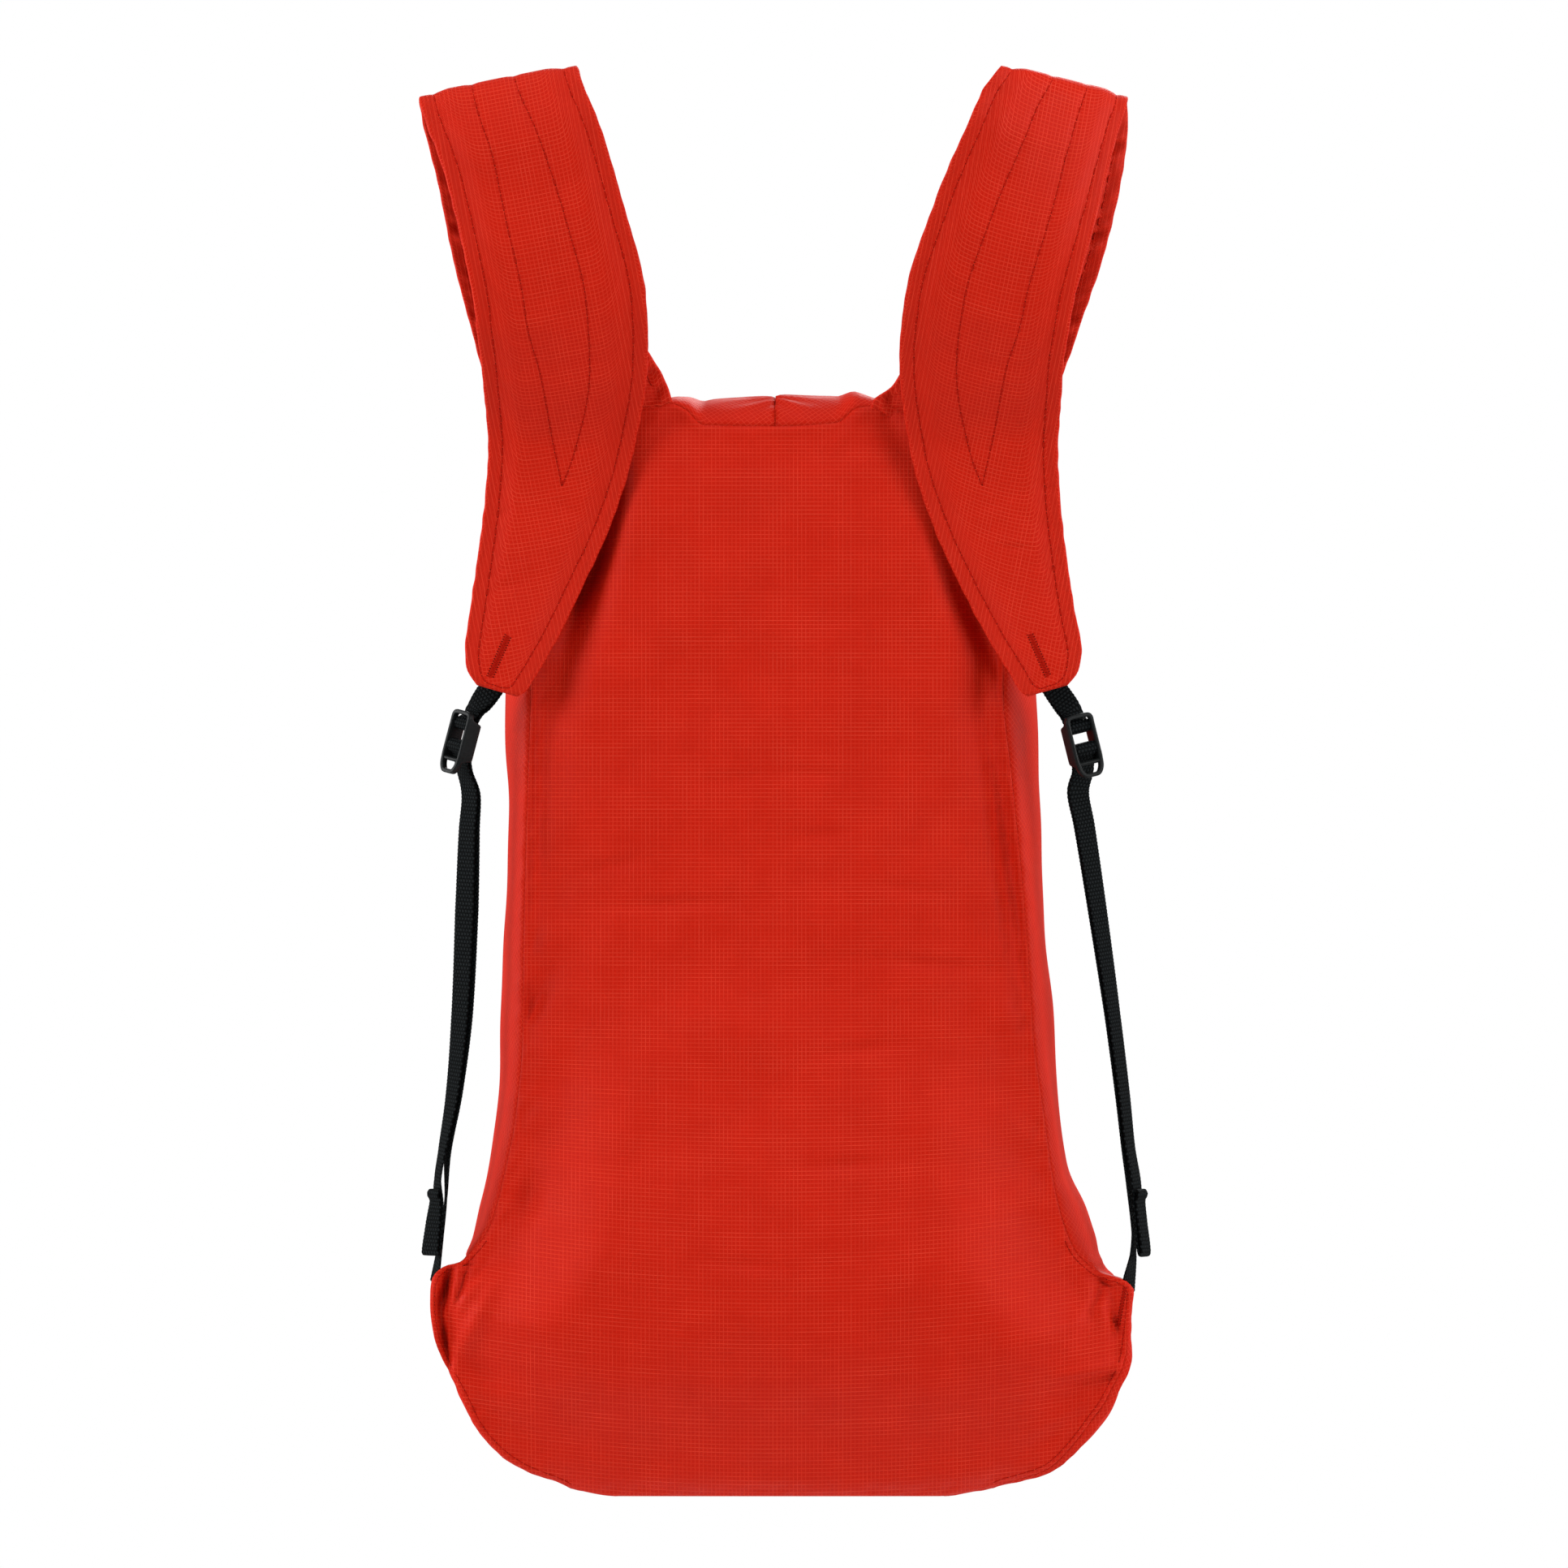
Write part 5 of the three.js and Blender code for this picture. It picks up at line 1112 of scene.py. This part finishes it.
def bar_grid(bar, rings=14, sides=18):
    """A rod across the buckle with domed ends: the radius is a root of the distance from each end."""
    along, out_by, radius = (BARS[key][bar] for key in ("along", "out", "radius"))
    x = BAR_HALF * np.sin(np.linspace(-np.pi / 2, np.pi / 2, rings))
    fat = radius * np.clip((BAR_HALF - np.abs(x)) / BAR_DOME, 0, 1) ** 0.5
    turn = angles(sides)
    return np.stack([
        x[:, None] + 0 * turn, along + fat[:, None] * np.cos(turn), out_by + fat[:, None] * np.sin(turn),
    ], -1)


rim_points = rim_grid()
grids = [np.concatenate([rim_points, rim_points[:1]]), *(bar_grid(k) for k in range(len(BARS["along"])))]
starts = np.concatenate([[0], np.cumsum([g.shape[0] * g.shape[1] for g in grids])])
lock_faces = [f for s, g in zip(starts, grids) for f in (quads_of(*g.shape[:2], wrap=True) + s).tolist()]
lock_points = np.concatenate([g.reshape(-1, 3) for g in grids])
for name in STRAPS:
    made = make_object(f"ladder_lock_{name}_moulded", in_lock(name, lock_points), lock_faces)
    dress(outward(made), plastic, "buckle", f"ladder_lock_{name}")

# %% [markdown]
# ## The zip
#
# A plain zip closes the mouth, on the side away from the wearer. Each half is a woven tape just inside a lip
# of the mouth, with a coil along its edge. The coil is a helix, which is one formula. A slider would be a
# guess about a side that the photograph does not show, so there is none.

# %% Tapes along both lips, and the coils
ZIP_INSIDE, ZIP_PROUD, ZIP_BELOW, ZIP_SHORT, ZIP_ROWS, ZIP_COLUMNS = 6.0, 2.5, 1.2, 12.0, 160, 12
COIL_RADIUS, COIL_PITCH, COIL_WIRE, COIL_FLAT, COIL_STEPS, COIL_SIDES = 1.1, 1.3, 0.35, 0.6, 10, 6
EDGE_BELOW, EDGE_COLUMNS = 6, 6
OFF_THE_PATH = np.array([0.3, 0.2, 1.0])


def lip_front(x):
    """The front panel's top edge, the way up out of it and the way into the bag."""
    half = BODY["front"][-1]
    place = (x / half + 1) / 2
    edge, below = (front_surface(place, height, MOUTH_GAPE) for height in (TOP, TOP - EDGE_BELOW))
    proud = unit(edge - below)
    return edge, proud, unit(np.cross(np.gradient(edge, axis=0), proud))


def lip_gusset(x):
    """The gussets' front edge at the top, the way forward out of it and the way into the bag."""
    on_edge = on_top & (np.abs(strip[:, -1, 0]) < MOUTH_HALF)
    order = np.argsort(strip[on_edge, -1, 0])
    edge, inner = strip[on_edge, -1][order], strip[on_edge, -EDGE_COLUMNS][order]
    edge, inner = curve_at(x, edge[:, 0], edge), curve_at(x, edge[:, 0], inner)
    proud = unit(edge - inner)
    return edge, proud, unit(np.cross(np.gradient(edge, axis=0), proud))


def tube(points, sides, radius):
    """A round section carried along a path, with its two directions across it."""
    ahead = unit(np.gradient(points, axis=0))
    first = unit(np.cross(ahead, OFF_THE_PATH))
    second = np.cross(ahead, first)
    turn = angles(sides)[:, None]
    return points[:, None] + radius * (np.cos(turn) * first[:, None] + np.sin(turn) * second[:, None])


for name, lip, into_bag in (("front", lip_front, (0, -1, 0)), ("gusset", lip_gusset, (0, 1, -2))):
    x = np.linspace(-MOUTH_HALF + ZIP_SHORT, MOUTH_HALF - ZIP_SHORT, ZIP_ROWS)
    edge, proud, inward = lip(x)
    inward = inward * np.where(inward @ np.array(into_bag) < 0, -1, 1)[:, None]
    width = np.linspace(-ZIP_INSIDE, ZIP_PROUD, ZIP_COLUMNS)
    grid = edge[:, None] + inward[:, None] * ZIP_BELOW + proud[:, None] * width[:, None]
    flat = np.stack(np.broadcast_arrays(width, x[:, None]), -1)
    made = sheet(f"zip_tape_{name}_woven", grid, flat)
    dress(wall(made), zip_tape, "zip", f"zip_tape_{name}")
    line = edge + inward * ZIP_BELOW + proud * (ZIP_PROUD + COIL_RADIUS * COIL_FLAT)
    run = lengths(line)
    turns = np.linspace(0, run[-1], int(run[-1] / COIL_PITCH) * COIL_STEPS)
    at, up, into = (curve_at(turns, run, g) for g in (line, proud, inward))
    angle = (2 * np.pi * turns / COIL_PITCH)[:, None]
    helix = at + COIL_RADIUS * (np.cos(angle) * up + COIL_FLAT * np.sin(angle) * into)
    dress(sheet(f"zip_coil_{name}", tube(helix, COIL_SIDES, COIL_WIRE), wrap=True), plastic, "zip")

# %% [markdown]
# ## Stitches
#
# The straps, the bar tacks and the wings show their thread: short stitches that dive into a needle hole at
# each end, which reads as a dark dot, painted as shade on the rod's own ends. A texture could paint them, but
# real rods catch the light and keep their size, so each stitch is a rounded rod of a few dozen faces, all of
# them worked out together and laid along a line on the cloth. The straight seams of the bag are sewn from
# inside, so they show none.

# %% The thread's finish: painted shade at both ends of each stitch, where it goes into the needle holes
NEEDLE_HOLE_SHADE, STITCH_RED, THREAD_ROUGH = (0.02, 0.0008, 0.0006, 1), (0.43, 0.008, 0.002, 1), 0.7
thread, tree, shader = new_material("red_thread_hole_shade", specular=0.05)
flat = add_node(tree, "ShaderNodeUVMap", uv_map="flat").outputs[0]
along = add_node(tree, "ShaderNodeSeparateXYZ", {0: flat}).outputs[0]
from_middle = maths(tree, "ABSOLUTE", maths(tree, "SUBTRACT", along, 0.5))
from_end = maths(tree, "SUBTRACT", 0.5, from_middle)
coming_up = {"Value": from_end, "From Min": 0.09, "From Max": 0.26}
lit = add_node(tree, "ShaderNodeMapRange", coming_up, interpolation_type="SMOOTHSTEP").outputs[0]
# painted shade: the thread's colour falls to near black towards both ends of each stitch, where it dives into
# a needle hole
tree.links.new(blend_colours(tree, lit, NEEDLE_HOLE_SHADE, STITCH_RED), shader.inputs["Base Color"])
shader.inputs["Roughness"].default_value = THREAD_ROUGH

# %% A builder for any number of stitches
STITCH_PITCH, STITCH_RADIUS, STITCH_LIFT, STITCH_SINK, STITCH_LEAST = 3.9, 0.31, 0.28, 0.2, 0.08
STITCH_RINGS, STITCH_SIDES = 6, 6


def stitch_rods(starts, ends, normals, radius=STITCH_RADIUS, lift=STITCH_LIFT, sink=STITCH_SINK):
    """Rod k runs from start to end; at share u its middle is raised by lift(1-(2u-1)^2)-sink along the normal
    and its radius is the thread's times the fourth-power arch (1-(2u-1)^4)^(1/2)."""
    u = np.linspace(0, 1, STITCH_RINGS)
    arch = 1 - (2 * u - 1) ** 2
    fat = radius * np.sqrt(np.clip(1 - (2 * u - 1) ** 4, STITCH_LEAST, 1))
    axis = ends - starts
    sideways = unit(np.cross(normals, axis))
    middle = starts[:, None] + axis[:, None] * u[:, None] + normals[:, None] * (lift * arch - sink)[:, None]
    turn = angles(STITCH_SIDES)[:, None]
    ring = np.cos(turn) * sideways[:, None] + np.sin(turn) * normals[:, None]
    points = middle[:, :, None] + fat[:, None, None] * ring[:, None]
    shares = np.broadcast_to(u[:, None], points.shape[:3])
    return points, np.stack([shares, 0 * shares], -1)


def stitch_object(name, rods, slot):
    """One mesh from many rods: rings joined by quads, each end closed by one face."""
    points = np.concatenate([r[0] for r in rods])
    flat = np.concatenate([r[1] for r in rods])
    count, rings, sides = points.shape[:3]
    base = (np.arange(count) * rings * sides)[:, None, None]
    body = (quads_of(rings, sides, wrap=True)[None] + base).reshape(-1, 4)
    first = np.arange(sides)[None] + base[:, 0]
    caps = np.concatenate([first, first[:, ::-1] + (rings - 1) * sides])
    made = make_object(name, points, body.tolist() + caps.tolist(), flat / MM)
    print(name, count, "stitches")
    return dress(outward(made), thread, slot)


def along_line(points, normals, pitch=STITCH_PITCH, **shape):
    """Stitches end to end along a line of points on a surface."""
    run = lengths(points)
    even = np.linspace(0, run[-1], max(2, int(round(run[-1] / pitch)) + 1))
    at, up = curve_at(even, run, points), curve_at(even, run, normals)
    return stitch_rods(at[:-1], at[1:], unit(up[:-1] + up[1:]), **shape)


# %% Lines on the straps: the edge stitch round the tip, and the quilted V
def on_grid(grid, rows, columns):
    """Points and normals of a grid at fractional rows and columns, blended from the four around each."""
    normals = normals_of(grid)
    r, c = np.floor(rows).astype(int), np.floor(columns).astype(int)
    r, c = np.clip(r, 0, grid.shape[0] - 2), np.clip(c, 0, grid.shape[1] - 2)
    fr, fc = (rows - r)[:, None], (columns - c)[:, None]
    return tuple(
        g[r, c] * (1 - fr) * (1 - fc) + g[r + 1, c] * fr * (1 - fc)
        + g[r, c + 1] * (1 - fr) * fc + g[r + 1, c + 1] * fr * fc
        for g in (grid, normals)
    )


def strap_line(name, face, stations, shares):
    """Points and outward normals on one face of a strap, at stations and shares of its half-width."""
    upper, lower, row_stations = strap_grids[name]
    rows = np.interp(stations, row_stations, np.arange(STRAP_ROWS))
    columns = np.interp(shares, strap_shares, np.arange(STRAP_COLUMNS))
    near, far = (upper, lower) if face == "outer" else (lower, upper)
    points, normals = on_grid(near, rows, columns)
    away = points - on_grid(far, rows, columns)[0]
    return points, normals * np.sign(np.sum(normals * away, axis=1, keepdims=True))


SEWN_FROM, EDGE_TO, QUILT_TO, LINE_COUNT, QUILT_COUNT, TIP_COUNT = 0.5, 20.45, 15.6, 900, 700, 40


def edge_line(name):
    """Stations and shares of the edge stitch: down the outer side, across the tip, and up the inner side."""
    down = np.linspace(SEWN_FROM, EDGE_TO, LINE_COUNT)
    share = 1 - STITCH_INSET / strap_path(name, down)[3]
    stations = np.concatenate([down, np.full(TIP_COUNT, EDGE_TO), down[::-1]])
    shares = np.concatenate([share, np.linspace(share[-1], -share[-1], TIP_COUNT), -share[::-1]])
    return stations, shares * SIDE[name]


for name in STRAPS:
    rods = []
    for face in ("outer", "inner"):
        rods.append(along_line(*strap_line(name, face, *edge_line(name))))
        for line in ("outer", "inner"):
            stations = np.linspace(SEWN_FROM, QUILT_TO, QUILT_COUNT)
            shares = read(QUILT, "station", line, stations) * SIDE[name]
            rods.append(along_line(*strap_line(name, face, stations, shares)))
    stitch_object(f"strap_{name}_stitches", rods, "strap_cloth")

# %% [markdown]
# A bar tack is a short dense zigzag that locks the webbing to the strap's tip and to the wing. Its place is
# read from the photograph as two ends, and each point is then dropped onto the cloth behind it.

# %% Bar tacks
def to_wearer(normals):
    """Normals turned to the wearer's side."""
    return normals * np.where(normals[:, 1:2] > 0, -1, 1)


def drop_onto(grid, x, height):
    """Nearest grid point seen from the wearer's side, slid along its tangent plane to the exact place."""
    flat_points = grid.reshape(-1, 3)
    normals = to_wearer(normals_of(grid).reshape(-1, 3))
    dx, dz = flat_points[:, 0] - x[:, None], flat_points[:, 2] - height[:, None]
    near = np.argmin(dx ** 2 + dz ** 2, axis=1)
    point, normal = flat_points[near], normals[near]
    slide = (normal[:, 0] * (x - point[:, 0]) + normal[:, 2] * (height - point[:, 2])) / normal[:, 1]
    return np.stack([x, point[:, 1] - slide, height], -1), normal


TACK_RADIUS, TACK_LIFT, TACK_SINK = 0.24, 0.3, 0.05


def bar_tack(grid, start, stop, width, count):
    """A zigzag of stitches between two ends, each point dropped onto the cloth."""
    start, stop = np.array(start, float), np.array(stop, float)
    ahead = unit(stop - start)
    swing = np.where(np.arange(count + 1) % 2, 0.5, -0.5)[:, None] * width * np.array([-ahead[1], ahead[0]])
    line = start + (stop - start) * np.linspace(0, 1, count + 1)[:, None] + swing
    points, normals = drop_onto(grid, line[:, 0], line[:, 1])
    return stitch_rods(points[:-1], points[1:], normals[:-1], TACK_RADIUS, TACK_LIFT, TACK_SINK)


FRONT_SHARE = 0.45
front_run = {name: strap_grids[name][0][int(FRONT_SHARE * STRAP_ROWS):] for name in STRAPS}
tacks = [
    bar_tack(front_run["left"], (-116.5, 374.3), (-124.3, 356.3), width=3.6, count=34),
    bar_tack(front_run["right"], (109.5, 375), (117.3, 356.7), width=3.2, count=34),
    bar_tack(back, (151.1, 92), (148.2, 75), width=1.8, count=26),
]
stitch_object("bar_tacks", tacks, "cloth")

# %% The seam threads at the wings
SEAM_INSET, SEAM_THREAD, SEAM_SINK, WING_TOP, ROWS_LEFT = 2.0, 0.24, 0.15, 112, 4


def seam_line(rows, columns):
    """Points and normals of the back panel along a line of its grid."""
    points, normals = on_grid(back, rows, columns)
    return points, to_wearer(normals)


wing_rows = np.arange(ROWS_LEFT, BACK_ROWS - ROWS_LEFT)
wing_rows = wing_rows[heights[wing_rows, 0] < WING_TOP]
columns = np.arange(BACK_COLUMNS)
from_left = np.array([np.interp(SEAM_INSET, to_left[r], columns) for r in wing_rows])
from_right = np.array([np.interp(SEAM_INSET, to_right[r, ::-1], columns) for r in wing_rows])
seams = [
    along_line(*seam_line(wing_rows, at), radius=SEAM_THREAD, lift=SEAM_THREAD, sink=SEAM_SINK)
    for at in (from_left, columns[-1] - from_right)
]
stitch_object("back_panel_seam_threads", seams, "cloth")

# %% [markdown]
# ## Floor, light and camera
#
# The pack hangs high above a pale studio floor, which ends before a horizon could show. A white sky alone
# would leave no shadow, and the photograph has a dark one beside each strap, so two soft boxes stand at the
# front corners and one hangs above. Two more at the sides light the gussets, which are as bright as the panel
# in the photograph, and the last two light the top and the far side. A long lens from far off shows the pack
# flat.

# %% The floor
FLOOR_DROP, FLOOR_REACH, FLOOR_RINGS, FLOOR_SIDES = 0.9, 1.6, 12, 96
FLOOR_DARK, FLOOR_PALE, FLOOR_ROUGH = (0.9, 0.9, 0.9, 1), (0.93, 0.93, 0.93, 1), 0.9
floor_z = cad_low.z - FLOOR_DROP
reach = np.linspace(0, FLOOR_REACH, FLOOR_RINGS)[:, None]
around = angles(FLOOR_SIDES)
disc = np.stack([reach * np.cos(around), reach * np.sin(around), floor_z + 0 * reach * around], -1)
floor = sheet("studio_floor", disc / MM - HANG, wrap=True, flip=True)
pale, tree, shader = new_material("pale_floor")
place = add_node(tree, "ShaderNodeTexCoord").outputs["Object"]
dapple = noise_at(tree, place, 3, 2)
shade = blend_colours(tree, dapple.outputs[0], FLOOR_DARK, FLOOR_PALE)
tree.links.new(shade, shader.inputs["Base Color"])
shader.inputs["Roughness"].default_value = FLOOR_ROUGH
floor.data.materials.append(pale)

# %% The sky: white to the camera, dim as a light
SKY_SEEN, SKY_LIGHT = 1.0, 0.2
scene = bpy.context.scene
scene.view_settings.view_transform = "Standard"
sky = bpy.data.worlds.new("white_sky")
sky.use_nodes = True
tree = sky.node_tree
seen = add_node(tree, "ShaderNodeLightPath").outputs["Is Camera Ray"]
strength = maths(tree, "MULTIPLY_ADD", seen, SKY_SEEN - SKY_LIGHT, SKY_LIGHT)
tree.links.new(strength, tree.nodes["Background"].inputs["Strength"])
tree.nodes["Background"].inputs["Color"].default_value = (1, 1, 1, 1)
scene.world = sky
print("sky strength:", SKY_SEEN, "to the camera,", SKY_LIGHT, "as a light")

# %% The soft boxes: square, and turned towards the middle of the pack
MIDDLE = (0.003, 0.0, -0.301)
LAMPS = {
    "key_above": {"at": (0.2, -1.7, 2.2), "size": 1.4, "energy": 32},
    "box_left": {"at": (-2.1, -1.6, 0.2), "size": 1.2, "energy": 32},
    "box_right": {"at": (2.1, -1.6, 0.2), "size": 1.2, "energy": 29},
    "side_left": {"at": (-2.4, 0.35, 0.1), "size": 1.4, "energy": 46},
    "side_right": {"at": (2.4, 0.35, 0.1), "size": 1.4, "energy": 37},
    "top": {"at": (0, 0.25, 2.3), "size": 1.2, "energy": 12},
    "behind": {"at": (0.5, 2.5, 1.2), "size": 1.2, "energy": 38},
}
for name, box in LAMPS.items():
    light = bpy.data.lights.new(name, "AREA")
    light.size, light.energy = box["size"], box["energy"]
    made = bpy.data.objects.new(name, light)
    scene.collection.objects.link(made)
    made.location = box["at"]
    made.rotation_euler = (Vector(MIDDLE) - Vector(box["at"])).to_track_quat("-Z", "Y").to_euler()
print("soft boxes:", len(LAMPS))

# %% The camera: level, far away, and as wide at the pack as the photograph's frame
FRAME_PIXELS, PIXELS_PER_MM = 1932, 2.84
PANEL_PLANE, CAMERA_DISTANCE, SENSOR = 0.025, 6.0, 36.0
frame_width = FRAME_PIXELS / PIXELS_PER_MM * MM
lens = bpy.data.cameras.new("camera")
lens.sensor_width = SENSOR
lens.lens = SENSOR * CAMERA_DISTANCE / frame_width
lens.clip_end = 100
camera = bpy.data.objects.new("camera", lens)
scene.collection.objects.link(camera)
camera.location = (MIDDLE[0], PANEL_PLANE - CAMERA_DISTANCE, MIDDLE[2])
camera.rotation_euler = (np.pi / 2, 0, 0)
scene.camera = camera
print("lens:", round(lens.lens), "mm")
